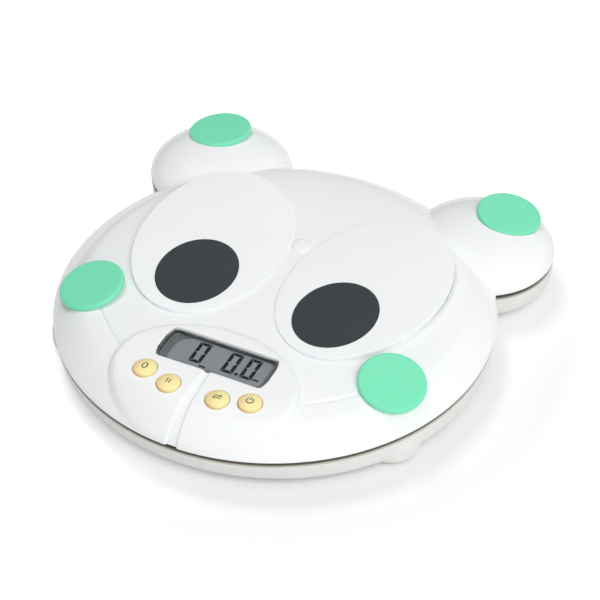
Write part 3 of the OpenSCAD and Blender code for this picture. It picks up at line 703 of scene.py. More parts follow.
class Effects:
    """Effects that several finishes share, each built once as a node group."""

    def __init__(self) -> None:
        """Builds all groups."""
        self.grain = self.make_grain()
        self.drift = self.make_drift()
        self.handling = self.make_handling()
        self.dust = self.make_dust()

    @staticmethod
    def swing(board: NodeBoard, noise: bpy.types.NodeSocket) -> bpy.types.NodeSocket:
        """Turns a noise from 0 to 1 into a swing from -1 to 1."""
        return board.sums("MULTIPLY", board.sums("SUBTRACT", noise, 0.5), 2.0)

    @staticmethod
    def make_grain() -> bpy.types.NodeTree:
        """Builds the fine moulded grain.

        Returns:
            Group that gives a height from 0 to 1.
        """
        board, source, result = new_group("moulded_grain", {"Scale": 1500.0}, "Height")
        fine = board.cloud(source.outputs["Scale"], 2.0)
        broad = board.cloud(board.sums("MULTIPLY", source.outputs["Scale"], 0.08), 1.0)
        mixed = board.sums("MULTIPLY_ADD", broad, 0.6, fine)
        board.wire(board.sums("MULTIPLY", mixed, 0.625), result)
        return board.tree

    @staticmethod
    def make_drift() -> bpy.types.NodeTree:
        """Builds the slow drift of a moulded colour.

        Returns:
            Group that gives the drifted colour.
        """
        inputs = {"Colour": (0.8, 0.8, 0.8, 1.0), "Amount": 0.03, "Scale": 30.0}
        board, source, result = new_group("colour_drift", inputs, "Colour")
        swing = Effects.swing(board, board.cloud(source.outputs["Scale"], 3.0))
        value = board.sums("MULTIPLY_ADD", swing, source.outputs["Amount"], 1.0)
        tint = board.node("ShaderNodeHueSaturation")
        board.wire(value, tint.inputs["Value"])
        board.wire(source.outputs["Colour"], tint.inputs["Color"])
        board.wire(tint.outputs["Color"], result)
        return board.tree

    @staticmethod
    def make_handling() -> bpy.types.NodeTree:
        """Builds the faint smears that hands and feet leave on a gloss.

        Returns:
            Group that gives a roughness.
        """
        inputs = {"Roughness": 0.3, "Amount": 0.05, "Scale": 22.0}
        board, source, result = new_group("handling_wear", inputs, "Roughness")
        given = source.outputs
        swing = Effects.swing(board, board.cloud(given["Scale"], 4.0, 0.6))
        board.wire(board.sums("MULTIPLY_ADD", swing, given["Amount"], given["Roughness"]), result)
        return board.tree

    @staticmethod
    def make_dust() -> bpy.types.NodeTree:
        """Builds the mask of fine dust that settles on faces that look up.

        Returns:
            Group that gives a mask.
        """
        board, source, result = new_group("settled_dust", {"Amount": 0.05, "Scale": 900.0}, "Mask")
        shape = board.node("ShaderNodeNewGeometry")
        facing = board.sums("MAXIMUM", board.split(shape.outputs["Normal"])["Z"], 0.0)
        specks = board.cloud(source.outputs["Scale"], 2.0)
        dots = board.sums("MAXIMUM", board.sums("MULTIPLY_ADD", specks, 3.0, -1.4), 0.0)
        held = board.sums("MULTIPLY", facing, dots)
        board.wire(board.sums("MULTIPLY", held, source.outputs["Amount"]), result)
        return board.tree


@dataclass(frozen=True)
class Finish:
    """A moulded, coated or metal surface.

    Sizes of the grain are in millimetres, colours in display values.
    """

    name: str
    colour: Triple
    roughness: float
    grain_mm: float = 0.5
    grain_depth_mm: float = 0.01
    drift: float = 0.02
    drift_mm: float = 40.0
    wear: float = 0.04
    dust: float = 0.0
    metallic: float = 0.0
    coat: float = 0.0
    coat_roughness: float = 0.08
    specular: float = 0.5
    dust_colour: Triple = (196.0, 194.0, 190.0)

    def build(self, effects: Effects) -> bpy.types.Material:
        """Makes the material.

        Args:
            effects: The shared node groups.

        Returns:
            The material.
        """
        material = bpy.data.materials.new(self.name)
        material.use_nodes = True
        board = NodeBoard(material.node_tree)
        shader = material.node_tree.nodes["Principled BSDF"]
        drift = self.group(board, effects.drift, {
            "Colour": rgba(self.colour), "Amount": self.drift, "Scale": MM_PER_M / self.drift_mm})
        colour = self.pattern(board, drift.outputs["Colour"])
        if self.dust:
            dust = self.group(board, effects.dust, {"Amount": self.dust})
            colour = board.blend(dust.outputs["Mask"], colour, rgba(self.dust_colour))
        board.wire(colour, shader.inputs["Base Color"])
        wear = self.group(board, effects.handling,
                          {"Roughness": self.roughness, "Amount": self.wear})
        board.wire(wear.outputs["Roughness"], shader.inputs["Roughness"])
        grain = self.group(board, effects.grain, {"Scale": MM_PER_M / self.grain_mm})
        bump = board.node("ShaderNodeBump")
        fill_sockets(bump, {"Distance": self.grain_depth_mm * MM, "Strength": 1.0})
        board.wire(self.relief(board, grain.outputs["Height"]), bump.inputs["Height"])
        board.wire(bump.outputs["Normal"], shader.inputs["Normal"])
        fill_sockets(shader, {
            "Metallic": self.metallic, "Coat Weight": self.coat,
            "Coat Roughness": self.coat_roughness, "Specular IOR Level": self.specular})
        self.special(shader)
        return material

    @staticmethod
    def group(board: NodeBoard, tree: bpy.types.NodeTree,
              values: dict[str, object]) -> bpy.types.Node:
        """Places a shared node group.

        Args:
            board: Board to place it on.
            tree: The group.
            values: Values of its inputs.

        Returns:
            The group's node.
        """
        made = board.node("ShaderNodeGroup")
        made.node_tree = tree
        fill_sockets(made, values)
        return made

    def pattern(self, board: NodeBoard, colour: bpy.types.NodeSocket) -> bpy.types.NodeSocket:
        """Leaves the colour plain; other finishes draw on it."""
        return colour

    def relief(self, board: NodeBoard, height: bpy.types.NodeSocket) -> bpy.types.NodeSocket:
        """Leaves the grain plain; other finishes add to it."""
        return height

    def special(self, shader: bpy.types.Node) -> None:
        """Sets nothing more; other finishes do."""


@dataclass(frozen=True)
class RubberFinish(Finish):
    """Soft rubber with a little sheen."""

    sheen: float = 0.15
    sheen_roughness: float = 0.5

    def special(self, shader: bpy.types.Node) -> None:
        """Adds the sheen of rubber."""
        fill_sockets(shader, {"Sheen Weight": self.sheen,
                              "Sheen Roughness": self.sheen_roughness})


@dataclass(frozen=True)
class ClearFinish(Finish):
    """Clear moulded plastic."""

    ior: float = 1.06

    def special(self, shader: bpy.types.Node) -> None:
        """Makes the plastic clear."""
        fill_sockets(shader, {"Transmission Weight": 1.0, "IOR": self.ior})


@dataclass(frozen=True)
class BoardFinish(Finish):
    """Green circuit board with copper tracks under its lacquer."""

    track_mm: float = 2.4
    track_share: float = 0.035
    track_colour: Triple = (92.0, 148.0, 92.0)

    def pattern(self, board: NodeBoard, colour: bpy.types.NodeSocket) -> bpy.types.NodeSocket:
        """Draws the tracks."""
        black, white = (0.0, 0.0, 0.0, 1.0), (1.0, 1.0, 1.0, 1.0)
        cells = board.node("ShaderNodeTexBrick")
        fill_sockets(cells, {
            "Scale": MM_PER_M / (4.0 * self.track_mm), "Mortar Size": self.track_share,
            "Color1": black, "Color2": black, "Mortar": white})
        board.wire(board.object_space(), cells.inputs["Vector"])
        return board.blend(cells.outputs["Color"], colour, rgba(self.track_colour))


@dataclass(frozen=True)
class BrushedFinish(Finish):
    """Metal with fine brush marks along one way."""

    stretch: float = 30.0
    marks_scale: float = 120.0

    def relief(self, board: NodeBoard, height: bpy.types.NodeSocket) -> bpy.types.NodeSocket:
        """Adds the brush marks."""
        squeeze = board.node("ShaderNodeMapping")
        squeeze.inputs["Scale"].default_value = (1.0, self.stretch, self.stretch)
        board.wire(board.object_space(), squeeze.inputs["Vector"])
        marks = board.cloud(self.marks_scale, 3.0, vector=squeeze.outputs["Vector"])
        return board.sums("ADD", height, marks)


@dataclass(frozen=True)
class GapShadedTubFinish(Finish):
    """Moulded tub whose shoulder and lip, under the platform's edge in the gap, carry painted shade
    that darkens upwards to near black.
    """

    # Painted shade: each band darkens the tub from its height upwards and stands for the shadow
    # under the platform's edge.
    gap_shade_bands: tuple[tuple[float, Triple], ...] = (
        (21.6, (196.0, 191.0, 182.0)), (22.55, (122.0, 116.0, 106.0)), (22.7, (30.0, 29.0, 28.0)))

    def pattern(self, board: NodeBoard, colour: bpy.types.NodeSocket) -> bpy.types.NodeSocket:
        """Paints the shade of the gap, one band after another, each from its height in millimetres
        upwards.
        """
        height = board.split(board.object_space())["Z"]
        for start, shade in self.gap_shade_bands:
            band = board.sums("GREATER_THAN", height, start * MM)
            colour = board.blend(band, colour, rgba(shade))
        return colour


@dataclass(frozen=True)
class SlopeShadedFinish(Finish):
    """Creamy plastic with painted shade: a warm orange tint where its dome slopes away and on the
    side that faces left, away from the light.
    """

    # Colour of the painted shade, blended in by slope and by facing left.
    shade_peach: Triple = (250.0, 208.0, 146.0)
    by_slope: float = 1.0
    by_side: float = 1.3

    def pattern(self, board: NodeBoard, colour: bpy.types.NodeSocket) -> bpy.types.NodeSocket:
        """Paints the warm shade on the slopes and on the left-facing side."""
        normal = board.split(board.node("ShaderNodeNewGeometry").outputs["Normal"])
        slope = board.sums("MULTIPLY", board.sums("SUBTRACT", 1.0, normal["Z"]), self.by_slope)
        away = board.sums("MULTIPLY_ADD", normal["X"], -self.by_side, slope)
        held = board.sums("MINIMUM", board.sums("MAXIMUM", away, 0.0), 1.0)
        return board.blend(held, colour, rgba(self.shade_peach))


@dataclass(frozen=True)
class BatteryFinish(Finish):
    """Battery wrap with a copper-coloured band at one end of each can."""

    band_from_mm: float = 26.0
    band_colour: Triple = (176.0, 112.0, 62.0)

    def pattern(self, board: NodeBoard, colour: bpy.types.NodeSocket) -> bpy.types.NodeSocket:
        """Draws the band."""
        along = board.split(board.object_space())["Y"]
        band = board.sums("GREATER_THAN", along, self.band_from_mm * MM)
        return board.blend(band, colour, rgba(self.band_colour))


class Finishes:
    """All materials of the scale, by slot."""

    def __init__(self, effects: Effects) -> None:
        """Builds the materials.

        Args:
            effects: The shared node groups.
        """
        gloss = dict(grain_mm=0.9, grain_depth_mm=0.0015, drift=0.008, wear=0.03)
        mould = dict(grain_mm=0.45, grain_depth_mm=0.012)
        film = dict(grain_mm=0.3, grain_depth_mm=0.001)
        table: list[Finish] = [
            Finish("shell_white", (245.0, 247.0, 248.0), 0.22, coat=0.3, **gloss),
            Finish("plate_white", (246.0, 248.0, 250.0), 0.5, dust=0.01, **mould),
            RubberFinish("grip_rubber", (52.0, 57.0, 59.0), 0.62, grain_mm=0.6, drift=0.04,
                         grain_depth_mm=0.02, dust=0.03, dust_colour=(120.0, 122.0, 122.0),
                         specular=0.3, sheen=0.03),
            RubberFinish("pad_rubber", (124.0, 230.0, 187.0), 0.45, sheen=0.04),
            ClearFinish("clear_window", (250.0, 250.0, 250.0), 0.02, grain_mm=3.0,
                        grain_depth_mm=0.0004, drift=0.0, wear=0.01, specular=0.2),
            Finish("frame_dark", (70.0, 73.0, 75.0), 0.5, **mould),
            Finish("panel_lcd", (116.0, 119.0, 124.0), 0.5, specular=0.1, **film),
            RubberFinish("black_rubber", (40.0, 40.0, 42.0), 0.7, **mould),
            BoardFinish("circuit_green", (24.0, 92.0, 52.0), 0.35, grain_depth_mm=0.004, coat=0.4),
            Finish("resin_black", (24.0, 24.0, 26.0), 0.4, grain_mm=0.3),
            # Buttons with painted warm shade on their slopes and left-facing sides.
            SlopeShadedFinish("button_yellow", (250.0, 237.0, 169.0), 0.34, grain_mm=0.6,
                        grain_depth_mm=0.004, drift=0.015),
            BrushedFinish("steel", (196.0, 198.0, 202.0), 0.32, grain_depth_mm=0.004, metallic=1.0),
            Finish("switch_black", (44.0, 44.0, 48.0), 0.5, **mould),
            # Grey tub with painted shade in the gap under the platform's edge.
            GapShadedTubFinish("base_grey", (227.0, 228.0, 225.0), 0.42, dust=0.01, **mould),
            RubberFinish("foot_rubber", (128.0, 128.0, 126.0), 0.7, grain_depth_mm=0.03),
            Finish("tray_white", (226.0, 226.0, 222.0), 0.5, **mould),
            BatteryFinish("battery_wrap", (38.0, 40.0, 46.0), 0.3, grain_depth_mm=0.002, coat=0.3),
            Finish("ivory", (236.0, 230.0, 210.0), 0.5, **mould),
            Finish("lead_red", (186.0, 34.0, 30.0), 0.45, grain_depth_mm=0.004),
            Finish("lead_black", (34.0, 34.0, 36.0), 0.45, grain_depth_mm=0.004),
            BrushedFinish("ribbon_grey", (188.0, 188.0, 192.0), 0.5),
            Finish("digit_ink", (18.0, 19.0, 24.0), 0.6, grain_mm=0.2, grain_depth_mm=0.0005,
                   specular=0.1),
            Finish("legend_ink", (96.0, 90.0, 82.0), 0.5, grain_mm=0.2, grain_depth_mm=0.002),
            # Dark sheet that paints the window rim's shadow on the panel.
            Finish("painted_rim_shadow", (80.0, 83.0, 86.0), 0.45, specular=0.2, **film),
        ]
        self.materials = {finish.name: finish.build(effects) for finish in table}

    def __getitem__(self, name: str) -> bpy.types.Material:
        """Gives the material of that name."""
        return self.materials[name]


# ---------------------------------------------------------------------------------------------
# Platform
# ---------------------------------------------------------------------------------------------


@dataclass(frozen=True)
class PadSpot:
    """Where a round rubber pad lies: the middle of its top face and its slopes in degrees."""

    centre: Triple
    roll: float
    pitch: float
    side: Side

    def turn(self) -> np.ndarray:
        """Gives the matrix that tilts the pad.

        Returns:
            Rotation, (3, 3), for the right-hand side.
        """
        a, b = math.radians(self.pitch), math.radians(self.roll)
        about_x = [[1, 0, 0], [0, math.cos(a), -math.sin(a)], [0, math.sin(a), math.cos(a)]]
        about_y = [[math.cos(b), 0, math.sin(b)], [0, 1, 0], [-math.sin(b), 0, math.cos(b)]]
        return np.array(about_y) @ np.array(about_x)

    def place(self, points: np.ndarray) -> np.ndarray:
        """Puts points of the pad's own space on the scale.

        Args:
            points: Points about the middle of the top face, (n, 3).

        Returns:
            Places in space, (n, 3).
        """
        put = points @ self.turn().T + np.array(self.centre)
        put[:, 0] *= self.side.value
        return put

    def floor(self, spots: np.ndarray, depth: float) -> np.ndarray:
        """Gives the height of the plane that lies below the pad's top face.

        Args:
            spots: Spots, (n, 2).
            depth: Distance of the plane below the top face.

        Returns:
            Heights, (n,).
        """
        up = self.turn() @ np.array([0.0, 0.0, 1.0])
        origin = np.array(self.centre) - up * depth
        x = spots[:, 0] * self.side.value
        return origin[2] - (up[0] * (x - origin[0]) + up[1] * (spots[:, 1] - origin[1])) / up[2]

    def reach(self, spots: np.ndarray, depth: float) -> np.ndarray:
        """Gives how far each spot lies from the pad's axis, in the plane below its top face.

        Args:
            spots: Spots, (n, 2).
            depth: Distance of the plane below the top face.

        Returns:
            Distances, (n,).
        """
        origin = np.array(self.centre) - self.turn() @ np.array([0.0, 0.0, depth])
        own = at_height(spots * [self.side.value, 1.0], self.floor(spots, depth))
        return np.linalg.norm(own - origin, axis=1)


@dataclass
class Platform:
    """The domed platform: its outer form, its seats and its skin."""

    shift: ClassVar[float] = (149.0 - 117.0 - 53.0) / 2.0

    head_r: float = 149.0
    ear_r: float = 51.0
    ear_x: float = 100.8
    ear_y: float = 116.8
    seam_z: float = 26.4
    dome_h: float = 22.4
    dome_p: float = 3.0
    ease_from: float = 0.86
    ease_by: float = 0.62
    ease_p: float = 1.7
    ear_h: float = 20.5
    ear_p: float = 2.05
    muzzle_half: Pair = (65.0, 47.0)
    muzzle_y: float = -103.0
    muzzle_h: float = 24.0
    muzzle_p: float = 4.2
    muzzle_blend: float = 4.0
    muzzle_fade: float = 12.0
    muzzle_least: float = 0.12
    groove_w: Pair = (4.4, 7.6)
    groove_from: float = -97.2
    groove_depth: float = 1.7
    groove_wall: float = 1.4
    smile: tuple[Pair, ...] = ((97.0, -67.0), (88.0, -77.0), (77.0, -87.0), (64.0, -96.5))
    smile_depth: float = 0.75
    smile_half: float = 1.1
    smile_fade: float = 5.0
    plate_centre: Pair = (57.3, 19.5)
    plate_half: Pair = (51.2, 76.8)
    plate_lean: float = 7.8
    plate_seat_z: float = 48.0
    plate_margin: float = 1.4
    pad_t: float = 3.6
    pad_seat_r: float = 18.0
    pad_recess_r: float = 22.8
    rim_rise: float = 8.2
    rim_extra: float = 0.975
    rim_bend: Pair = (28.0, 14.0)
    rim_shares: tuple[float, ...] = (
        0.0, 0.03, 0.08, 0.15, 0.24, 0.34, 0.45, 0.56, 0.67, 0.78, 0.89, 1.0)
    search_from: float = 115.0
    crease_from: float = 90.0
    wall: float = 2.8
    wall_fade: float = 14.0
    skin: float = 2.0
    skin_fade: float = 6.0
    skirt: tuple[Pair, ...] = (
        (1.2, 26.45), (6.6, 26.45), (6.6, 23.0), (8.2, 23.0), (8.2, 28.0), (1.2, 28.0))
    grid: float = 2.4
    step: float = 0.05
    window_centre: Pair = (0.0, -84.0)
    window_half: Pair = (39.5, 14.2)
    window_corner: float = 5.0
    window_end_r: float = 40.0
    window_fillet: float = 0.6
    button_gap: float = 0.45
    button_fillet: float = 0.35
    buttons: "Buttons" = field(default_factory=lambda: Buttons())
    pads: tuple[PadSpot, ...] = field(default_factory=lambda: tuple(
        PadSpot(centre, roll, pitch, side)
        for side in Side
        for centre, roll, pitch in (((109.9, -54.55, 47.8), 11.8, 9.7),
                                    ((112.6, 137.8, 46.6), 7.7, -2.9))))

    @staticmethod
    def dome(d: np.ndarray, r: float, h: float, p: float) -> np.ndarray:
        """Gives the rise at distances d in a dome of radius r, height h and squareness p."""
        return h * np.clip(1.0 - (d / r) ** p, 0.0, None) ** (1.0 / p)

    def head_z(self, spots: np.ndarray) -> np.ndarray:
        """Gives the height of the head's dome with the raised muzzle.

        Args:
            spots: Spots, (n, 2).

        Returns:
            Heights above the floor.
        """
        d = np.hypot(spots[:, 0], spots[:, 1])
        head = self.dome(d, self.head_r, self.dome_h, self.dome_p)
        muzzle = self.dome(d, self.head_r, self.muzzle_h, self.muzzle_p)
        near = np.clip((self.head_r - d) / self.muzzle_fade, self.muzzle_least, 1.0)
        soft = self.muzzle_blend * near
        share = np.sin(0.5 * math.pi * np.clip(-self.oval_gap(spots) / soft, 0.0, 1.0))
        return self.seam_z + (head + share * (muzzle - head)) * self.rim_ease(d)

    def rim_ease(self, d: np.ndarray) -> np.ndarray:
        """Gives what is left of the dome's rise where its shoulder rounds off to the rim."""
        out = np.clip((d / self.head_r - self.ease_from) / (1.0 - self.ease_from), 0.0, 1.0)
        return 1.0 - self.ease_by * out ** self.ease_p

    def ear_z(self, spots: np.ndarray) -> np.ndarray:
        """Gives the height of the nearer ear's dome above the floor."""
        d = np.hypot(np.abs(spots[:, 0]) - self.ear_x, spots[:, 1] - self.ear_y)
        return self.seam_z + self.dome(d, self.ear_r, self.ear_h, self.ear_p)

    def oval_gap(self, spots: np.ndarray) -> np.ndarray:
        """Gives the distance from the muzzle's oval edge, negative inside.

        Args:
            spots: Spots, (n, 2).

        Returns:
            Distances.
        """
        rx, ry = self.muzzle_half
        x, y = spots[:, 0], spots[:, 1] - self.muzzle_y
        q = np.maximum(np.hypot(x / rx, y / ry), 1e-3)
        slope = np.maximum(np.hypot(x / rx ** 2, y / ry ** 2) / q, 1e-4)
        return (q - 1.0) / slope

    def surface(self, spots: np.ndarray) -> np.ndarray:
        """Gives the height of the outer form, without seats and grooves."""
        return np.maximum(self.head_z(spots), self.ear_z(spots))

    def carved(self, spots: np.ndarray) -> np.ndarray:
        """Gives how deep the grooves are at each spot.

        Args:
            spots: Spots, (n, 2).

        Returns:
            Depths along the surface's normal.
        """
        x, y = np.abs(spots[:, 0]), spots[:, 1]
        half = self.groove_half(y)
        wall = smooth((x - half + 0.5 * self.groove_wall) / self.groove_wall)
        centre = np.where(y < self.groove_from + 0.5, self.groove_depth * (1.0 - wall), 0.0)
        return centre + self.smile_depth * self.smile_share(spots)

    def groove_half(self, y: np.ndarray) -> np.ndarray:
        """Gives half the width of the centre groove, which widens towards the front."""
        share = np.clip((self.groove_from - y) / (self.groove_from + self.head_r), 0.0, 1.0)
        return 0.5 * (self.groove_w[0] + (self.groove_w[1] - self.groove_w[0]) * share)

    def smile_share(self, spots: np.ndarray) -> np.ndarray:
        """Gives the shape of the two shallow cheek lines.

        Args:
            spots: Spots, (n, 2).

        Returns:
            Shares from 0 to 1.
        """
        spot = np.column_stack([np.abs(spots[:, 0]), spots[:, 1]])
        path = np.array(self.smile)
        lengths = np.linalg.norm(np.diff(path, axis=0), axis=1)
        best = np.full(len(spot), 1e3)
        along = np.zeros(len(spot))
        travelled = 0.0
        for start, end, length in zip(path, path[1:], lengths):
            t = np.clip(((spot - start) @ (end - start)) / length ** 2, 0.0, 1.0)
            gap = np.linalg.norm(spot - start - t[:, None] * (end - start), axis=1)
            along = np.where(gap < best, travelled + t * length, along)
            best = np.minimum(gap, best)
            travelled += length
        ends = smooth(np.minimum(along, travelled - along) / self.smile_fade)
        return np.cos(0.5 * math.pi * np.clip(best / self.smile_half, 0.0, 1.0)) ** 2 * ends

    def lift(self, spots: np.ndarray) -> np.ndarray:
        """Gives the place of spots on the outer skin, with seats and grooves.

        Args:
            spots: Spots, (n, 2).

        Returns:
            Places in space, (n, 3).
        """
        plain = at_height(spots, self.surface(spots))
        put = plain - self.normals(spots) * self.carved(spots)[:, None]
        for loop in self.plate_loops():
            put[inside(loop, spots), 2] = self.plate_seat_z
        for pad in self.pads:
            reach, under = pad.reach(spots, self.pad_t), pad.floor(spots, self.pad_t)
            low = np.minimum(put[:, 2], under)
            put[:, 2] = np.where(reach < self.pad_recess_r, low, put[:, 2])
            put[:, 2] = np.where(reach < self.pad_seat_r, under, put[:, 2])
        return put

    def normals(self, spots: np.ndarray) -> np.ndarray:
        """Gives the outward normals of the outer form.

        Args:
            spots: Spots, (n, 2).

        Returns:
            Unit normals, (n, 3).
        """
        e = 0.02
        east = self.surface(spots + [e, 0.0]) - self.surface(spots - [e, 0.0])
        north = self.surface(spots + [0.0, e]) - self.surface(spots - [0.0, e])
        up = np.column_stack([-east, -north, np.full(len(spots), 2.0 * e)])
        return unit_rows(up)

    def plate_loops(self) -> list[np.ndarray]:
        """Lays out the edges of both foot plates' seats."""
        right = oval_loop(self.plate_centre, self.plate_half, self.plate_lean, 180)
        return [np.column_stack([-right[::-1, 0], right[::-1, 1]]), right]

    def window_loop(self, inset: float) -> np.ndarray:
        """Lays out the window's edge, inset from the opening or, if negative, outside it."""
        corners = [self.window_corner] * 4
        loop = rounded_loop((0.0, 0.0), self.window_half, corners, self.window_end_r)
        return loop - normals_of(loop) * inset + np.array(self.window_centre)

    # ----- rim -----

    def lobe_radii(self, rise: float) -> Pair:
        """Gives the radii of the head's and an ear's contour at a rise above the seam."""
        reach = np.linspace(self.search_from, self.head_r, 3400)
        rises = self.dome(reach, self.head_r, self.dome_h, self.dome_p) * self.rim_ease(reach)
        head = float(np.interp(-rise, -rises, reach))
        share = 1.0 - (rise / self.ear_h) ** self.ear_p
        return head, self.ear_r * share ** (1.0 / self.ear_p)

    def contour(self, share: float) -> tuple[np.ndarray, list[int]]:
        """Lays out one contour of the rim, counterclockwise from the front.

        Args:
            share: Share of the rim's rise, 0 at the seam.

        Returns:
            Places in space, and which of them lie on the creases beside the ears.
        """
        rise = share * self.rim_rise
        columns = OutlineColumns(*self.lobe_radii(rise), self.ear_x, self.ear_y)
        front = columns.front_angles()
        end, fade = (math.radians(angle) for angle in self.rim_bend)
        bend = smooth((end - np.abs(front + 0.5 * math.pi)) / fade)
        rises = rise * (1.0 + self.rim_extra * bend)
        half = np.concatenate([
            at_height(polar(self.front_radii(front, rises), front), self.seam_z + rises),
            at_height(columns.ear_points(), self.seam_z + rise),
            at_height(columns.rear_points(), self.seam_z + rise)])
        half -= self.rim_normals(half) * self.carved(half[:, :2])[:, None]
        mirrored = half[-2:0:-1] * np.array([-1.0, 1.0, 1.0])
        whole = np.concatenate([half, mirrored])
        creases = [len(front) - 1, len(front) + columns.ear_count - 1]
        creases += [len(whole) - k for k in creases]
        return whole, creases

    def rim_normals(self, points: np.ndarray) -> np.ndarray:
        """Gives normals on the rim, where they lean towards the horizontal at the seam."""
        d = np.hypot(points[:, 0], points[:, 1])
        inward = np.minimum(1.0, (self.head_r - 0.03) / d)
        return self.normals(points[:, :2] * inward[:, None])

    def front_radii(self, angles: np.ndarray, rises: np.ndarray) -> np.ndarray:
        """Finds where rays from the head's centre meet given heights.

        Args:
            angles: Angle of each ray.
            rises: Height above the seam wanted on each ray.

        Returns:
            Radii.
        """
        low, high = self.halve(angles, self.search_from,
                               lambda spots: self.head_z(spots) > self.seam_z + rises)
        return np.where(rises <= 0.0, self.head_r, 0.5 * (low + high))

    def halve(self, angles: np.ndarray, start: float,
              holds: Lift) -> tuple[np.ndarray, np.ndarray]:
        """Closes in on where a test stops to hold, on rays from the head's centre.

        Args:
            angles: Angle of each ray.
            start: Distance at which the test holds.
            holds: The test, for spots, (n, 2).

        Returns:
            Distances just before and just after that place.
        """
        low, high = np.full(len(angles), start), np.full(len(angles), self.head_r)
        for _ in range(HALVINGS):
            middle = 0.5 * (low + high)
            held = holds(polar(middle, angles))
            low, high = np.where(held, middle, low), np.where(held, high, middle)
        return low, high

    def ear_crease(self, start: np.ndarray, end: np.ndarray) -> np.ndarray:
        """Finds the line where the head meets the right ear.

        Args:
            start: Crease point of the last contour towards the cheek.
            end: Crease point of the last contour between the ears.

        Returns:
            Spots between them, (n, 2).
        """
        first, last = math.atan2(start[1], start[0]), math.atan2(end[1], end[0])
        angles = np.linspace(first, last, 44)[1:-1]
        low, _ = self.halve(angles, self.crease_from,
                            lambda spots: self.head_z(spots) > self.ear_z(spots))
        return polar(low, angles)

    # ----- skin -----

    def build(self, finishes: Finishes) -> None:
        """Builds the platform's shell.

        Args:
            finishes: All materials.
        """
        draft, layout = Draft(), Sheet()
        rim = [self.contour(share) for share in self.rim_shares]
        last, creases = rim[-1]
        border = layout.draw(last[:, :2], last)
        crisp = self.lay_creases(layout, border, last, creases)
        self.lay_plates(layout)
        self.lay_pads(layout, last[:, :2])
        self.lay_muzzle(layout, last[:, :2])
        self.lay_grooves(layout, last[:, :2])
        holes = self.lay_holes(layout)
        self.lay_grid(layout, last[:, :2], holes)
        first = draft.sheet(layout, border, holes, self.lift)
        rows = [draft.add(points) for points, _ in rim[:-1]] + [[k + first for k in border]]
        for low, high in zip(rows, rows[1:]):
            draft.strip(low, high)
        for column in creases:
            draft.crisp += [(low[column], high[column]) for low, high in zip(rows, rows[1:])]
        draft.crisp += [(a + first, b + first) for a, b in crisp]
        draft.line_inner(self.hollow, [rows[0]] + [[k + first for k in hole] for hole in holes])
        self.add_skirt(draft)
        draft.build("platform_skin", Body.PLATFORM, "shell_white", finishes["shell_white"],
                    ["platform_shell"])

    def hollow(self, points: np.ndarray) -> np.ndarray:
        """Gives the inner place of each point of the skin."""
        head = np.column_stack([np.abs(points[:, 0]), points[:, 1]])
        ear = head - [self.ear_x, self.ear_y]
        head_out, ear_out = np.hypot(*head.T), np.hypot(*ear.T)
        head_in, ear_in = self.head_r - head_out, self.ear_r - ear_out
        on_ear = ear_in > head_in
        reach = np.maximum(np.where(on_ear, ear_out, head_out), 1e-6)
        way = np.where(on_ear[:, None], ear, head) / reach[:, None]
        pull = self.wall * (1.0 - smooth(np.maximum(head_in, ear_in) / self.wall_fade))
        put = points.copy()
        put[:, 0] -= np.sign(points[:, 0]) * way[:, 0] * pull
        put[:, 1] -= way[:, 1] * pull
        put[:, 2] -= self.skin * np.clip((points[:, 2] - self.seam_z) / self.skin_fade, 0.0, 1.0)
        return put

    def add_skirt(self, draft: Draft) -> None:
        """Adds the ledge and the skirt that reaches down behind the base's lip."""
        draft.loft([Outline().ring(inset, z) for inset, z in self.skirt], ring=True)

    def lay_creases(self, layout: Sheet, border: Row, last: np.ndarray,
                    creases: Sequence[int]) -> list[tuple[int, int]]:
        """Lays the lines where the ears meet the head.

        Args:
            layout: Layout of the skin.
            border: Numbers of the last contour's points.
            last: Places of the last contour's points.
            creases: Which of them lie on the creases.

        Returns:
            The edges that stay crisp.
        """
        kept: list[tuple[int, int]] = []
        spots = self.ear_crease(last[creases[0]], last[creases[1]])
        for side, ends in ((1.0, creases[:2]), (-1.0, creases[2:])):
            own = spots * np.array([side, 1.0])
            row = [border[ends[0]], *layout.add(own, at_height(own, self.surface(own))),
                   border[ends[1]]]
            layout.line(row)
            kept += list(zip(row, row[1:]))
        return kept

    def lay_plates(self, layout: Sheet) -> None:
        """Lays the raised or sunk edges of the foot plates' seats.

        Args:
            layout: Layout of the skin.
        """
        for loop in self.plate_loops():
            out = normals_of(loop) * self.step
            layout.draw(loop + out, at_height(loop, self.surface(loop)))
            layout.draw(loop - out, at_height(loop, self.plate_seat_z))
            ring = loop + normals_of(loop) * self.plate_margin
            layout.add(ring, at_height(ring, self.surface(ring)))

    def lay_pads(self, layout: Sheet, border: np.ndarray) -> None:
        """Lays the seats and recesses of the four rubber pads.

        Args:
            layout: Layout of the skin.
            border: The last contour, seen from above.
        """
        ring = polar(1.0, around(90))
        for pad in self.pads:
            drum = pad.place(at_height(ring * self.pad_seat_r, -self.pad_t))
            if pad.side is Side.LEFT:
                drum = drum[::-1]
            out = normals_of(drum[:, :2]) * self.step
            foot = drum.copy()
            foot[:, 2] = np.minimum(self.surface(drum[:, :2]), drum[:, 2])
            layout.draw(drum[:, :2] + out, foot)
            layout.draw(drum[:, :2] - out, drum)
            self.lay_recess(layout, pad, ring, border)

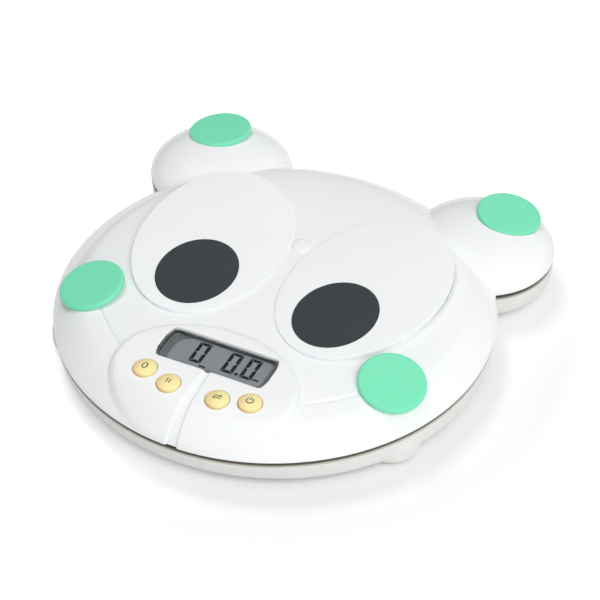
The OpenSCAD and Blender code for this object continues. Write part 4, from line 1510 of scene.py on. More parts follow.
    def lay_recess(self, layout: Sheet, pad: PadSpot, ring: np.ndarray, border: np.ndarray) -> None:
        """Lays the curved wall where the dome stands higher than a pad's underside.

        Args:
            layout: Layout of the skin.
            pad: The pad.
            ring: A circle of radius 1, (n, 2).
            border: The last contour, seen from above.
        """
        rise = np.full(len(ring), -1.0)
        for _ in range(6):
            put = pad.place(at_height(ring * self.pad_recess_r, rise))
            rise = rise + (self.surface(put[:, :2]) - put[:, 2])
        rim = pad.place(at_height(ring * self.pad_recess_r, rise))
        low = pad.place(at_height(ring * self.pad_recess_r, -self.pad_t))
        centre = np.array([pad.side.value * pad.centre[0], pad.centre[1]])
        out = unit_rows(rim[:, :2] - centre)
        tall = (rise > 0.05 - self.pad_t) & inside(border, rim[:, :2] + out)
        start = int(np.argmin(tall)) if not tall.all() else 0
        turned = [k % len(ring) for k in range(start, start + len(ring))]
        order = [k for k in turned if tall[k]]
        if len(order) < 3:
            return
        rim[:, 2] = self.surface(rim[:, :2])
        layout.draw((rim[:, :2] + out * self.step)[order], rim[order], closed=False)
        layout.draw((rim[:, :2] - out * self.step)[order], low[order], closed=False)

    def lay_muzzle(self, layout: Sheet, border: np.ndarray) -> None:
        """Lays rows of points along the muzzle's edge.

        Args:
            layout: Layout of the skin.
            border: The last contour, seen from above.
        """
        loop = oval_loop((0.0, self.muzzle_y), self.muzzle_half, 0.0, 260)
        out = normals_of(loop)
        for gap in (0.9, 0.0, -0.6, -1.2, -1.9, -2.6, -3.4):
            row = loop + out * gap
            kept = inside(border, row + out * 0.9) & inside(border, row)
            spots = row[kept]
            numbers = layout.add(spots, self.lift(spots))
            if gap == 0.0:
                near = np.linalg.norm(np.diff(spots, axis=0), axis=1) < 3.0
                layout.edges += [(a, b) for a, b, close in zip(numbers, numbers[1:], near) if close]

    def lay_grooves(self, layout: Sheet, border: np.ndarray) -> None:
        """Lays fine rows along the centre groove and the cheek lines.

        Args:
            layout: Layout of the skin.
            border: The last contour, seen from above.
        """
        window_front = self.window_centre[1] - self.window_half[1]
        ys = np.arange(window_front - 1.1, -self.head_r, -1.3)
        half = self.groove_half(ys)
        rows = [np.column_stack([side * (half + offset), ys])
                for offset in (-1.0, -0.7, -0.35, 0.0, 0.35, 0.7, 1.0) for side in (-1.0, 1.0)]
        rows.append(np.column_stack([np.zeros(len(ys)), ys]))
        for row in rows:
            kept = row[inside(border, row - np.array([0.0, 0.8]))]
            layout.draw(kept, self.lift(kept), closed=False)
        path = np.array(self.smile)
        fine = np.concatenate([a + (b - a) * np.linspace(0, 1, 12, endpoint=False)[:, None]
                               for a, b in zip(path, path[1:])] + [path[-1:]])
        across = across_of(fine)
        for side in (-1.0, 1.0):
            for offset in (-1.1, -0.75, -0.4, 0.0, 0.4, 0.75, 1.1):
                row = (fine + across * offset) * np.array([side, 1.0])
                row = row[inside(border, row)]
                layout.add(row, self.lift(row))

    def lay_holes(self, layout: Sheet) -> list[list[int]]:
        """Lays the openings of the window and the buttons with their rounded edges.

        Args:
            layout: Layout of the skin.

        Returns:
            Numbers of each opening's edge points.
        """
        edges = [(self.window_loop, self.window_fillet)]
        edges += [(self.buttons.hole(k, self.button_gap), self.button_fillet)
                  for k in range(len(self.buttons.spots))]
        holes: list[list[int]] = []
        for loop_at, radius in edges:
            row: list[int] = []
            for gap in (1.6 * radius, radius, 0.55 * radius, 0.2 * radius, 0.0):
                loop = loop_at(-gap)
                bend = max(0.0, radius - gap)
                drop = radius - math.sqrt(max(0.0, radius ** 2 - bend ** 2))
                put = self.lift(loop)
                put[:, 2] -= drop
                row = layout.draw(loop, put)
            holes.append(row)
        return holes

    def lay_grid(self, layout: Sheet, border: np.ndarray, holes: Sequence[Row]) -> None:
        """Fills what is left of the layout with evenly spaced points.

        Args:
            layout: Layout of the skin.
            border: The last contour, seen from above.
            holes: Numbers of each opening's edge points.
        """
        rows = np.arange(-self.head_r, self.ear_y + self.ear_r, self.grid * 0.866)
        reach = self.ear_x + self.ear_r
        xs = np.arange(-reach, reach, self.grid)
        spots = np.concatenate([
            np.column_stack([xs + (k % 2) * self.grid / 2, np.full(len(xs), y)])
            for k, y in enumerate(rows)])
        spots = spots[inside(border, spots)]
        flat = np.concatenate(layout.flat)
        for hole in holes:
            spots = spots[~inside(flat[hole], spots)]
        layout.scatter(spots, self.lift, 0.8)


@dataclass
class OutlineColumns:
    """Where the columns of points stand on one contour of the head and the right ear."""

    head: float
    ear: float
    ear_x: float
    ear_y: float
    ear_count: int = 118
    rear_count: int = 26
    cheek_count: int = 92
    cheek_to: float = 119.2
    groove_steps: tuple[float, ...] = (0.0, 0.8, 1.6, 2.2, 2.7, 3.2, 3.7, 4.2, 4.8, 5.6)
    front_steps: Triple = (6.7, 62.0, 1.1)

    def creases(self) -> tuple[float, float]:
        """Gives the angles about the head's centre of both creases beside the right ear."""
        apart = math.hypot(self.ear_x, self.ear_y)
        aim = math.atan2(self.ear_y, self.ear_x)
        across = self.head ** 2 + apart ** 2 - self.ear ** 2
        open_by = math.acos(across / (2.0 * self.head * apart))
        return aim - open_by, aim + open_by

    def front_angles(self) -> np.ndarray:
        """Gives the angles of the columns from the front to the crease at the cheek."""
        first = np.concatenate([self.groove_steps, np.arange(*self.front_steps)])
        first = np.arcsin(first / Platform.head_r)
        whole = math.radians(self.cheek_to)
        rest = np.linspace(first[-1], whole, self.cheek_count)[1:]
        shares = np.concatenate([first, rest]) / whole
        return -0.5 * math.pi + shares * (self.creases()[0] + 0.5 * math.pi)

    def ear_points(self) -> np.ndarray:
        """Gives the spots round the ear, after the crease at the cheek."""
        out, into = [self.head * np.array([math.cos(a), math.sin(a)]) - [self.ear_x, self.ear_y]
                     for a in self.creases()]
        first, last = math.atan2(out[1], out[0]), math.atan2(into[1], into[0])
        last += 2.0 * math.pi if last < first else 0.0
        angles = np.linspace(first, last, self.ear_count + 1)[1:]
        return polar(self.ear, angles) + [self.ear_x, self.ear_y]

    def rear_points(self) -> np.ndarray:
        """Gives the spots between the ears, after the crease, up to the middle."""
        angles = np.linspace(self.creases()[1], 0.5 * math.pi, self.rear_count + 1)[1:]
        return polar(self.head, angles)


@dataclass
class Outline:
    """The whole outline of head and ears at the seam, shrunk or tucked in at the front."""

    head_r: float = 149.0
    ear_r: float = 51.4
    ear_x: float = 100.8
    ear_y: float = 116.8

    def ring(self, inset: float, z: float, tuck: float = 0.0) -> np.ndarray:
        """Lays out a ring at one height.

        Args:
            inset: Distance inside the seam's outline.
            z: Height above the floor.
            tuck: How far the front edge lies further in.

        Returns:
            Places in space, (n, 3).
        """
        columns = OutlineColumns(self.head_r - inset, self.ear_r - inset, self.ear_x, self.ear_y)
        flat = np.concatenate([polar(columns.head, columns.front_angles()),
                               columns.ear_points(), columns.rear_points()])
        flat = np.concatenate([flat, flat[-2:0:-1] * np.array([-1.0, 1.0])])
        flat[:, 1] += tuck * (np.maximum(0.0, -flat[:, 1]) / self.head_r) ** 2
        return at_height(flat, z)


# ---------------------------------------------------------------------------------------------
# What lies on the platform
# ---------------------------------------------------------------------------------------------


@dataclass
class FootPlates:
    """Two flat oval foot plates, each with a dark grip patch let into it."""

    top_z: float = 50.0
    low_z: float = 48.02
    edge: float = 0.5
    patch_centre: Pair = (51.2, -14.4)
    patch_half: Pair = (27.0, 33.9)
    patch_lean: float = 4.4
    patch_low_z: float = 49.35
    patch_top_z: float = 50.15
    patch_edge: float = 0.3
    pocket_gap: float = 0.08
    bevel: float = 0.12
    patch_bevel: float = 0.05

    def build(self, platform: Platform, finishes: Finishes) -> None:
        """Builds both plates and both patches.

        Args:
            platform: The platform that carries them.
            finishes: All materials.
        """
        for side, name in ((Side.RIGHT, "right"), (Side.LEFT, "left")):
            mirror = np.array([side.value, 1.0])
            plate = platform.plate_loops()[1]
            patch = oval_loop(self.patch_centre, self.patch_half, self.patch_lean, 120)
            self.plate(plate * mirror, patch * mirror).build(
                f"{name}_foot_plate_skin", Body.PLATFORM, "plate_white", finishes["plate_white"],
                [f"{name}_foot_plate"])
            self.patch(patch * mirror).build(
                f"{name}_grip_patch_skin", Body.PLATFORM, "grip_rubber", finishes["grip_rubber"],
                [f"{name}_grip_patch"])

    def rounded(self, loop: np.ndarray, low: float, top: float, edge: float,
                foot: float) -> list[np.ndarray]:
        """Gives the rows of a slab with a rounded upper edge.

        Args:
            loop: Edge of the slab, (n, 2).
            low: Height of its underside.
            top: Height of its top.
            edge: Radius of the upper edge.
            foot: Bevel of the lower edge.

        Returns:
            Rows from the underside to the top.
        """
        out = self.outwards(loop)
        rows = [at_height(loop - out * foot, low), at_height(loop, low + foot)]
        for angle in np.linspace(0.0, 0.5 * math.pi, 6):
            inset = edge * (1.0 - math.cos(angle))
            rows.append(at_height(loop - out * inset, top - edge + edge * math.sin(angle)))
        return rows

    @staticmethod
    def outwards(loop: np.ndarray) -> np.ndarray:
        """Finds the outward normals of a loop that may run either way."""
        after = np.roll(loop, -1, axis=0)
        area = np.sum(loop[:, 0] * after[:, 1] - after[:, 0] * loop[:, 1])
        return normals_of(loop) * (1.0 if area > 0 else -1.0)

    def plate(self, loop: np.ndarray, patch: np.ndarray) -> Draft:
        """Builds one plate with the pocket of its patch.

        Args:
            loop: Edge of the plate.
            patch: Edge of the patch.

        Returns:
            The draft.
        """
        draft = Draft()
        rows = draft.loft(self.rounded(loop, self.low_z, self.top_z, self.edge, self.bevel))
        draft.cap(rows[0])
        out = self.outwards(patch)
        mouth = patch + out * self.pocket_gap
        lips = draft.add(at_height(patch + out * (self.pocket_gap + self.bevel), self.top_z))
        draft.bridge(rows[-1], lips)
        wall = draft.add(at_height(mouth, self.top_z - self.bevel))
        floor = draft.add(at_height(mouth, self.patch_low_z - 0.02))
        draft.strip(lips, wall)
        draft.strip(wall, floor)
        draft.cap(floor)
        return draft

    def patch(self, loop: np.ndarray) -> Draft:
        """Builds one grip patch.

        Args:
            loop: Edge of the patch.

        Returns:
            The draft.
        """
        draft = Draft()
        rows = draft.loft(self.rounded(loop, self.patch_low_z, self.patch_top_z,
                                       self.patch_edge, self.patch_bevel))
        draft.cap(rows[0])
        draft.cap(rows[-1])
        return draft


@dataclass
class TrayPads:
    """Four round rubber pads that carry the baby tray."""

    radius: float = 22.5
    edge: float = 1.6
    thick: float = 3.58
    bevel: float = 0.5
    stem: Pair = (4.0, 3.0)
    stem_bevel: float = 0.4
    crown: float = 0.12

    def profile(self) -> list[Pair]:
        """Lays out the half profile from the stem to the crown.

        Returns:
            Radius and height of each point.
        """
        stem_r, foot = self.stem[0], -self.thick - self.stem[1]
        path = [(stem_r - self.stem_bevel, foot), (stem_r, foot + self.stem_bevel),
                (stem_r, -self.thick), (self.radius - self.bevel, -self.thick),
                (self.radius, -self.thick + self.bevel)]
        for angle in np.linspace(0.0, 0.5 * math.pi, 9):
            path.append((self.radius - self.edge * (1.0 - math.cos(angle)),
                         -self.edge - self.crown + self.edge * math.sin(angle)))
        path += [(r * (self.radius - self.edge), -self.crown * r ** 2) for r in (0.85, 0.6, 0.3)]
        return path

    def build(self, platform: Platform, finishes: Finishes) -> None:
        """Builds all four pads.

        Args:
            platform: The platform that carries them.
            finishes: All materials.
        """
        for pad in platform.pads:
            side = "right" if pad.side is Side.RIGHT else "left"
            where = "ear" if pad.centre[1] > 0 else "cheek"
            draft = Draft()
            draft.lathe(self.profile(), pad.place, 128)
            draft.build(f"{side}_{where}_pad_skin", Body.PLATFORM, "pad_rubber",
                        finishes["pad_rubber"], [f"{side}_{where}_pad"])


@dataclass
class CentrePlug:
    """The low round plug between the foot plates."""

    centre: Triple = (0.0, 40.7, 48.72)
    radius: float = 7.0
    crown: float = 1.25
    stem: Pair = (3.0, 3.9)
    bulge: Pair = (0.6, 0.9)

    def build(self, finishes: Finishes) -> None:
        """Builds the plug.

        Args:
            finishes: All materials.
        """
        draft = Draft()
        stem_r, deep = self.stem
        path = [(stem_r - 0.4, -deep), (stem_r, 0.4 - deep), (stem_r, -0.05),
                (self.radius - 0.1, -0.05), (self.radius, 0.08)]
        for angle in np.linspace(0.0, 0.5 * math.pi, 12)[1:-1]:
            path.append((self.radius * math.cos(angle) ** self.bulge[0],
                         self.crown * math.sin(angle) ** self.bulge[1]))
        draft.lathe(path, lambda row: row + np.array(self.centre))
        draft.build("centre_plug_skin", Body.PLATFORM, "shell_white", finishes["shell_white"],
                    ["centre_plug"])


class Legend(Enum):
    """Plain signs on the four buttons."""

    ZERO = 0
    HOLD = 1
    UNIT = 2
    POWER = 3


@dataclass
class Buttons:
    """Four round buttons with plain signs, each with its flange and stem."""

    spots: tuple[Pair, ...] = (
        (-37.5, -111.6), (-17.4, -117.5), (17.4, -117.5), (37.5, -111.6))
    radius: float = 7.75
    flange: Triple = (9.4, 44.2, 1.0)
    stem: Pair = (2.2, 43.5)
    crown: float = 1.75
    proud: float = 0.6
    edge: float = 0.35
    face_p: Pair = (2.2, 0.8)
    face_shares: tuple[float, ...] = (0.975, 0.93, 0.87, 0.77, 0.645, 0.5, 0.32, 0.15)
    stroke: float = 0.8
    sign_lift: float = 0.03
    sign_step: float = 0.35

    def hole(self, number: int, gap: float) -> Callable[[float], np.ndarray]:
        """Gives the layout of a button's opening."""
        spot = self.spots[number]
        return lambda inset: oval_loop(spot, (self.radius + gap - inset,) * 2, 0.0, 72)

    def rim_z(self, number: int) -> float:
        """Gives the height of a cap's rim, a little above the muzzle."""
        form = Platform
        d = np.array(math.hypot(*self.spots[number]))
        muzzle = form.dome(d, form.head_r, form.muzzle_h, form.muzzle_p)
        return form.seam_z + float(muzzle) + self.proud

    def face(self, reach: np.ndarray) -> np.ndarray:
        """Gives the rise of the crowned face above the rim, at distances from its middle."""
        share = np.clip(1.0 - (reach / self.radius) ** self.face_p[0], 0.0, None)
        return self.crown * share ** self.face_p[1]

    def build(self, finishes: Finishes) -> None:
        """Builds the caps and their signs.

        Args:
            finishes: All materials.
        """
        bodies = (Body.ZERO, Body.HOLD, Body.UNIT, Body.POWER)
        for number, (name, body) in enumerate(zip(BUTTON_NAMES, bodies)):
            spot, rim = self.spots[number], self.rim_z(number)
            draft = Draft()
            draft.lathe(self.profile(rim), lambda row, s=spot: row + np.array([*s, 0.0]))
            draft.build(f"{name}_button_cap", body, "button_yellow", finishes["button_yellow"],
                        [f"{name}_button"])
            self.sign(Legend(number), spot, rim).build(
                f"{name}_button_sign", body, "button_yellow", finishes["legend_ink"], crease=60.0)

    def profile(self, rim: float) -> list[Pair]:
        """Lays out a cap's half profile from its stem to its crown.

        Args:
            rim: Height of the cap's rim.

        Returns:
            Radius and height of each point.
        """
        (stem_r, foot), (flange_r, low, thick) = self.stem, self.flange
        path = [(stem_r - 0.3, foot), (stem_r, foot + 0.2), (stem_r, low), (flange_r, low),
                (flange_r, low + thick), (self.radius, low + thick),
                (self.radius, rim - self.edge)]
        path += [(self.radius - self.edge * (1.0 - math.cos(a)),
                  rim - self.edge + self.edge * math.sin(a)) for a in (0.5, 1.0)]
        reach = self.radius * np.array(self.face_shares)
        return path + list(zip(reach, rim + self.face(reach)))

    def sign(self, legend: Legend, spot: Pair, rim: float) -> Draft:
        """Draws one plain sign on a crowned face.

        Args:
            legend: Which sign.
            spot: Middle of the cap.
            rim: Height of the cap's rim.

        Returns:
            The draft.
        """
        draft = Draft()
        for path in self.strokes(legend):
            self.ink(draft, np.array(path), spot, rim)
        return draft

    def strokes(self, legend: Legend) -> list[Sequence[Pair]]:
        """Gives the strokes of a sign about its middle.

        Args:
            legend: Which sign.

        Returns:
            Paths of the strokes.
        """
        if legend is Legend.ZERO:
            return [self.arc(0.0, (1.55, 2.5), 0.0, 360.0)]
        if legend is Legend.HOLD:
            return [[(x, -2.0), (x, 2.0)] for x in (-1.0, 1.0)]
        if legend is Legend.UNIT:
            arrow = np.array([(-2.6, 0.9), (2.6, 0.9), (1.3, 2.1)])
            return [arrow, -arrow]
        return [self.arc(-0.2, (2.3, 2.3), 122.0, 418.0), [(0.0, 0.2), (0.0, 2.9)]]

    @staticmethod
    def arc(y: float, half: Pair, start: float, end: float) -> np.ndarray:
        """Lays out part of an oval on the middle line."""
        turn = np.radians(np.linspace(start, end, 30))
        return polar(1.0, turn) * np.array(half) + [0.0, y]

    def ink(self, draft: Draft, path: np.ndarray, spot: Pair, rim: float) -> None:
        """Draws one stroke as a thin raised band.

        Args:
            draft: Draft to add it to.
            path: Corners of the stroke, (n, 2).
            spot: Middle of the cap.
            rim: Height of the cap's rim.
        """
        fine = [path[0]]
        for here, after in zip(path, path[1:]):
            parts = max(1, int(np.linalg.norm(after - here) / self.sign_step))
            fine += [here + (after - here) * k / parts for k in range(1, parts + 1)]
        line = np.array(fine)
        across = across_of(line)
        rows = []
        for side, lift in ((1.0, -1.0), (1.0, 1.0), (-1.0, 1.0), (-1.0, -1.0)):
            edge = line + across * side * self.stroke * 0.5
            z = rim + self.face(np.hypot(edge[:, 0], edge[:, 1])) + lift * self.sign_lift
            rows.append(at_height(edge + np.array(spot), z))
        made = draft.loft(rows, closed=False, ring=True)
        draft.faces.append(tuple(row[0] for row in made))
        draft.faces.append(tuple(row[-1] for row in reversed(made)))


@dataclass
class ReturnSprings:
    """Four coil springs under the buttons, built at their rest length; they stay with the platform
    and do not shorten when a button goes down.
    """

    wire_r: float = 0.26
    coil_r: float = 5.3
    turns: float = 3.5
    press: float = 0.9
    slack: float = 0.06
    sides: int = 12
    steps_per_turn: int = 48

    def build(self, spots: Sequence[Pair], finish: bpy.types.Material) -> None:
        """Builds the springs in the places of the frame's nodes.

        Args:
            spots: Middle of each button.
            finish: Their material.
        """
        for name, spot in zip(BUTTON_NAMES, spots):
            node = f"{name}_button_spring"
            low, high = (corner[2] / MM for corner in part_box(node))
            piece = self.coil(spot, low, high - self.slack).build(
                f"{name}_return_coil", Body.PLATFORM, "steel", finish, [node])
            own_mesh(piece)

    def coil(self, spot: Pair, low: float, high: float) -> Draft:
        """Winds one spring with a flat turn at each end.

        Args:
            spot: Its middle.
            low: Height of its foot.
            high: Height of its head.

        Returns:
            The draft.
        """
        count = int(self.turns * self.steps_per_turn) + 1
        along = np.linspace(0.0, 1.0, count)
        end = 1.0 / self.turns
        rise = smooth(np.clip((along - 0.6 * end) / (1.0 - 1.2 * end), 0.0, 1.0))
        turn = along * self.turns * 2.0 * math.pi
        height = low + self.wire_r + rise * (high - low - 2.0 * self.wire_r)
        wire = polar(self.wire_r, around(self.sides))
        draft = Draft()
        made = draft.loft([
            at_height(polar(self.coil_r + wire[:, 0], angle) + np.array(spot), z + wire[:, 1])
            for angle, z in zip(turn, height)])
        draft.cap(made[0])
        draft.cap(made[-1])
        return draft


@dataclass
class Display:
    """The dark frame, a dark sheet on the panel that paints the window rim's shadow, and plain
    digits on the panel.
    """

    frame_gap: float = 0.2
    frame_wall: float = 1.2
    panel_z: float = 46.2
    panel_half: Pair = (33.75, 12.3)
    panel_centre: Pair = (1.8, -84.0)
    panel_corner: float = 5.0
    panel_gap: float = 0.1
    seat_z: float = 47.78
    floor_z: float = 38.42
    # Painted shadow of the window's rim on the panel: a dark sheet round the panel's edge, its
    # opening a little off centre, with a wide rounded corner at the rear left.
    rim_shadow_centre: Pair = (1.9, -84.3)
    rim_shadow_half: Pair = (33.4, 12.15)
    rim_shadow_corners: tuple[float, ...] = (3.5, 3.0, 2.0, 11.0)
    rim_shadow_lifts: Pair = (0.01, 0.05)
    digit_size: Pair = (8.6, 19.2)
    digit_stroke: float = 2.45
    digit_gap: float = 0.25
    digit_x: tuple[float, ...] = (-13.0, 10.0, 23.4)
    digit_y: float = -82.4
    point: Triple = (16.7, -90.5, 1.3)
    marks: tuple[Pair, ...] = ((-6.2, -93.6), (30.4, -90.4))
    mark_half: Pair = (2.4, 0.7)
    ink: Pair = (0.005, 0.035)

    def build(self, platform: Platform, finishes: Finishes) -> None:
        """Builds the frame, the sheet of painted rim shadow and the digits.

        Args:
            platform: The platform with the window that they lie under.
            finishes: All materials.
        """
        self.tube(platform).build("display_frame_skin", Body.PLATFORM, "frame_dark",
                                  finishes["frame_dark"], ["display_frame"])
        self.mask().build("display_rim_shadow", Body.PLATFORM, "frame_dark", finishes["painted_rim_shadow"])
        self.digits().build("display_digits", Body.PLATFORM, "panel_lcd", finishes["digit_ink"])

    def panel_loop(self, grow: float) -> np.ndarray:
        """Lays out the panel's edge, grown by a gap or, if negative, shrunk."""
        half = (self.panel_half[0] + grow, self.panel_half[1] + grow)
        return rounded_loop(self.panel_centre, half, [self.panel_corner] * 4)

    def tube(self, platform: Platform) -> Draft:
        """Builds the tube with its floor round the panel.

        Args:
            platform: The platform with the window.

        Returns:
            The draft.
        """
        draft = Draft()
        outer = platform.window_loop(self.frame_gap)
        inner = platform.window_loop(self.frame_gap + self.frame_wall)
        hole = self.panel_loop(self.panel_gap)
        walls = draft.loft([at_height(loop, z) for loop, z in (
            (outer, self.floor_z), (outer, self.seat_z),
            (inner, self.seat_z), (inner, self.panel_z))])
        pit = draft.loft([at_height(hole, self.panel_z), at_height(hole, self.floor_z)])
        draft.bridge(walls[3], pit[0])
        draft.bridge(walls[0], pit[1])
        return draft

    def mask(self) -> Draft:
        """Builds the dark sheet over the panel's edge that paints the shadow of the window's rim.

        Returns:
            The draft.
        """
        draft = Draft()
        outer = self.panel_loop(-0.05)
        hole = rounded_loop(self.rim_shadow_centre, self.rim_shadow_half, self.rim_shadow_corners)
        for z in (self.panel_z + lift for lift in self.rim_shadow_lifts):
            layout = Sheet()
            edge, lip = [layout.draw(loop, at_height(loop, z)) for loop in (outer, hole)]
            draft.sheet(layout, edge, [lip], lambda spots, h=z: at_height(spots, h))
        return draft

    def digits(self) -> Draft:
        """Draws the plain digits, the point and two small marks.

        Returns:
            The draft.
        """
        draft = Draft()
        for x in self.digit_x:
            for up in (1.0, -1.0):
                self.half_digit(draft, x, up)
        x, y, radius = self.point
        self.bar(draft, polar(radius, around(16)) + [x, y])
        wide, deep = self.mark_half
        for x, y in self.marks:
            self.bar(draft, [(x - wide, y - deep), (x + wide, y - deep),
                             (x + wide, y + deep), (x - wide, y + deep)])
        return draft

    def half_digit(self, draft: Draft, x: float, up: float) -> None:
        """Draws the three bars of a digit's rear or front half.

        Args:
            draft: Draft to add them to.
            x: Middle of the digit.
            up: 1 for the rear half, -1 for the front half.
        """
        (width, tall), s, gap = self.digit_size, self.digit_stroke, self.digit_gap
        left, right, middle = x - width / 2, x + width / 2, self.digit_y
        end = middle + up * tall / 2
        self.bar(draft, [(left + gap, end), (right - gap, end), (right - s - gap, end - up * s),
                         (left + s + gap, end - up * s)])
        for edge, way in ((left, 1.0), (right, -1.0)):
            self.bar(draft, [
                (edge, end - up * gap), (edge, middle + up * gap),
                (edge + way * s * 0.5, middle + up * gap * 0.4),
                (edge + way * s, middle + up * s * 0.5), (edge + way * s, end - up * (s + gap))])

    def bar(self, draft: Draft, corners: Sequence[Pair]) -> None:
        """Draws one flat inked shape with a hair of thickness.

        Args:
            draft: Draft to add it to.
            corners: Corners of the shape.
        """
        flat = np.array(corners)
        rows = draft.loft([at_height(flat, self.panel_z + lift) for lift in self.ink])
        draft.faces.append(tuple(rows[0]))
        draft.faces.append(tuple(reversed(rows[1])))


# ---------------------------------------------------------------------------------------------
# Base
# ---------------------------------------------------------------------------------------------


@dataclass
class BaseTub:
    """The shallow base with its lip, battery opening, screw wells, feet and cover rails."""

    floor_z: float = 4.0
    inner_floor_z: float = 6.6
    corner: float = 8.0
    inset: float = 0.7
    taper: float = 0.8
    shoulder_z: float = 22.6
    lip_z: float = 24.6
    lip_in: float = 3.4
    wall: float = 2.6
    tuck: float = 4.2
    foot_r: float = 20.0
    foot_z: float = 2.0
    foot_edge: float = 5.0
    foot_top: float = 20.6
    sole_gap: float = 13.1
    sole_roof: float = 3.65
    feet: tuple[Pair, ...] = ((113.89, -63.91), (109.95, 133.08))
    wells: tuple[Pair, ...] = ((60.05, -99.95), (48.07, 100.08))
    well_r: float = 4.0
    well_z: float = 9.0
    well_wall: float = 1.6
    well_seat: float = 2.6
    bay_centre: Pair = (0.0, 24.0)
    bay_half: Pair = (30.1, 28.6)
    rail_x: float = 33.3
    rail_lap: float = 1.6
    rail_z: Pair = (0.9, 2.1)
    rail_half: float = 31.6

    def tuck_at(self, z: float) -> float:
        """Gives how far the front lies further in at a height."""
        share = (self.shoulder_z - z) / (self.shoulder_z - self.floor_z)
        return self.tuck * float(np.clip(share, 0.0, 1.0))

    def rings(self) -> list[tuple[float, float]]:
        """Lists inset and height of each ring, from the inner floor over the lip outside."""
        low, top, shoulder = self.inset + self.taper, self.lip_z, self.shoulder_z
        inner, outer, edge = self.corner - self.wall, self.corner, shoulder - 1.0
        behind = self.lip_in + self.wall
        rings = [(low + self.wall + inner - inner * math.sin(a),
                  self.inner_floor_z + inner - inner * math.cos(a))
                 for a in np.linspace(0.0, 0.5 * math.pi, 7)]
        rings += [(behind, edge), (behind, top), (self.lip_in + 0.2, top),
                  (self.lip_in, top - 0.2), (self.lip_in, shoulder), (self.inset + 1.0, shoulder),
                  (self.inset + 0.3, shoulder - 0.3), (self.inset, edge)]
        rings += [(self.inset + self.taper * share, edge + (self.floor_z + outer - edge) * share)
                  for share in (0.25, 0.5, 0.75)]
        rings += [(low + outer - outer * math.sin(a), self.floor_z + outer - outer * math.cos(a))
                  for a in np.linspace(0.5 * math.pi, 0.0, 9)]
        return rings

    def build(self, finishes: Finishes) -> None:
        """Builds the tub.

        Args:
            finishes: All materials.
        """
        draft = Draft()
        rows = draft.loft([Outline().ring(inset, z, self.tuck_at(z))
                           for inset, z in self.rings()])
        holes = [rounded_loop(self.bay_centre, self.bay_half, [1.0] * 4)]
        holes += [oval_loop((side * x, y), (self.well_r, self.well_r), 0.0, 40)
                  for x, y in self.wells for side in (-1.0, 1.0)]
        lips = [self.floor(draft, row, holes, z)
                for row, z in ((rows[0], self.inner_floor_z), (rows[-1], self.floor_z))]
        for upper, lower in zip(*lips):
            draft.strip(lower, upper)
        self.add_wells(draft)
        self.add_feet(draft)
        self.add_rails(draft)
        draft.build("base_tub", Body.BASE, "base_grey", finishes["base_grey"], ["base_shell"])

    def floor(self, draft: Draft, row: list[int], holes: Sequence[np.ndarray],
              z: float) -> list[list[int]]:
        """Fills a floor between a ring and its holes.

        Args:
            draft: Draft to add it to.
            row: Numbers of the ring's points.
            holes: Edges of the holes.
            z: Height of the floor.

        Returns:
            Numbers of each hole's edge points.
        """
        places = np.concatenate(draft.points)[row]
        layout = Sheet()
        border = layout.draw(places[:, :2], places)
        edges = [layout.draw(hole, at_height(hole, z)) for hole in holes]
        first = draft.sheet(layout, border, edges, lambda s: at_height(s, z))
        draft.strip(row, [k + first for k in border])
        return [[k + first for k in edge] for edge in edges]

    def add_wells(self, draft: Draft) -> None:
        """Adds the cups in which the retaining screws' heads sit.

        Args:
            draft: Draft to add them to.
        """
        inner, outer = self.well_r - 0.05, self.well_r + self.well_wall
        low, roof = self.floor_z + 0.05, self.well_z + self.well_seat
        path = [(0.4, self.well_z), (inner, self.well_z), (inner, low), (outer, low),
                (outer, roof), (0.4, roof)]
        self.turn_at(draft, path, self.wells, 40)

    @staticmethod
    def turn_at(draft: Draft, path: Sequence[Pair], spots: Sequence[Pair], steps: int) -> None:
        """Turns a half profile at each spot and at its mirror image.

        Args:
            draft: Draft to add it to.
            path: Radius and height of each point.
            spots: Middles on the right-hand side.
            steps: Number of facets around.
        """
        for x, y in spots:
            for side in Side:
                middle = np.array([side.value * x, y, 0.0])
                draft.lathe(path, lambda row, m=middle: row + m, steps)

    def add_feet(self, draft: Draft) -> None:
        """Adds the round foot housings that swell out of the tub.

        Args:
            draft: Draft to add them to.
        """
        r, e = self.foot_r, self.foot_edge
        path = [(0.4, self.sole_roof), (self.sole_gap, self.sole_roof),
                (self.sole_gap, self.foot_z + 0.3), (self.sole_gap + 0.3, self.foot_z)]
        path += [(r - e + e * math.sin(a), self.foot_z + e - e * math.cos(a))
                 for a in np.linspace(0.0, 0.5 * math.pi, 9)]
        path += [(r - 2.0 * e * (1.0 - math.cos(a)), self.foot_top - 8.0 + 8.0 * math.sin(a))
                 for a in np.linspace(0.0, 0.5 * math.pi, 9)[1:]]
        path.append((0.4, self.foot_top))
        self.turn_at(draft, path, self.feet, RING_STEPS)

    def add_rails(self, draft: Draft) -> None:
        """Adds the two rails that hold the battery cover.

        Args:
            draft: Draft to add them to.
        """
        inner, tip, outer = self.rail_x, self.rail_x - self.rail_lap, self.rail_x + 3.0
        (low, mid), top = self.rail_z, self.floor_z + 0.3
        ends = (self.bay_centre[1] - self.rail_half, self.bay_centre[1] + self.rail_half)
        section = [(tip + 0.2, low), (outer - 0.3, low), (outer, low + 0.3), (outer, top),
                   (inner, top), (inner, mid), (tip, mid), (tip, low + 0.2)]
        for side in Side:
            made = draft.loft([np.array([[side.value * x, y, z] for x, z in section])
                               for y in ends])
            draft.cap(made[0])
            draft.cap(made[1])


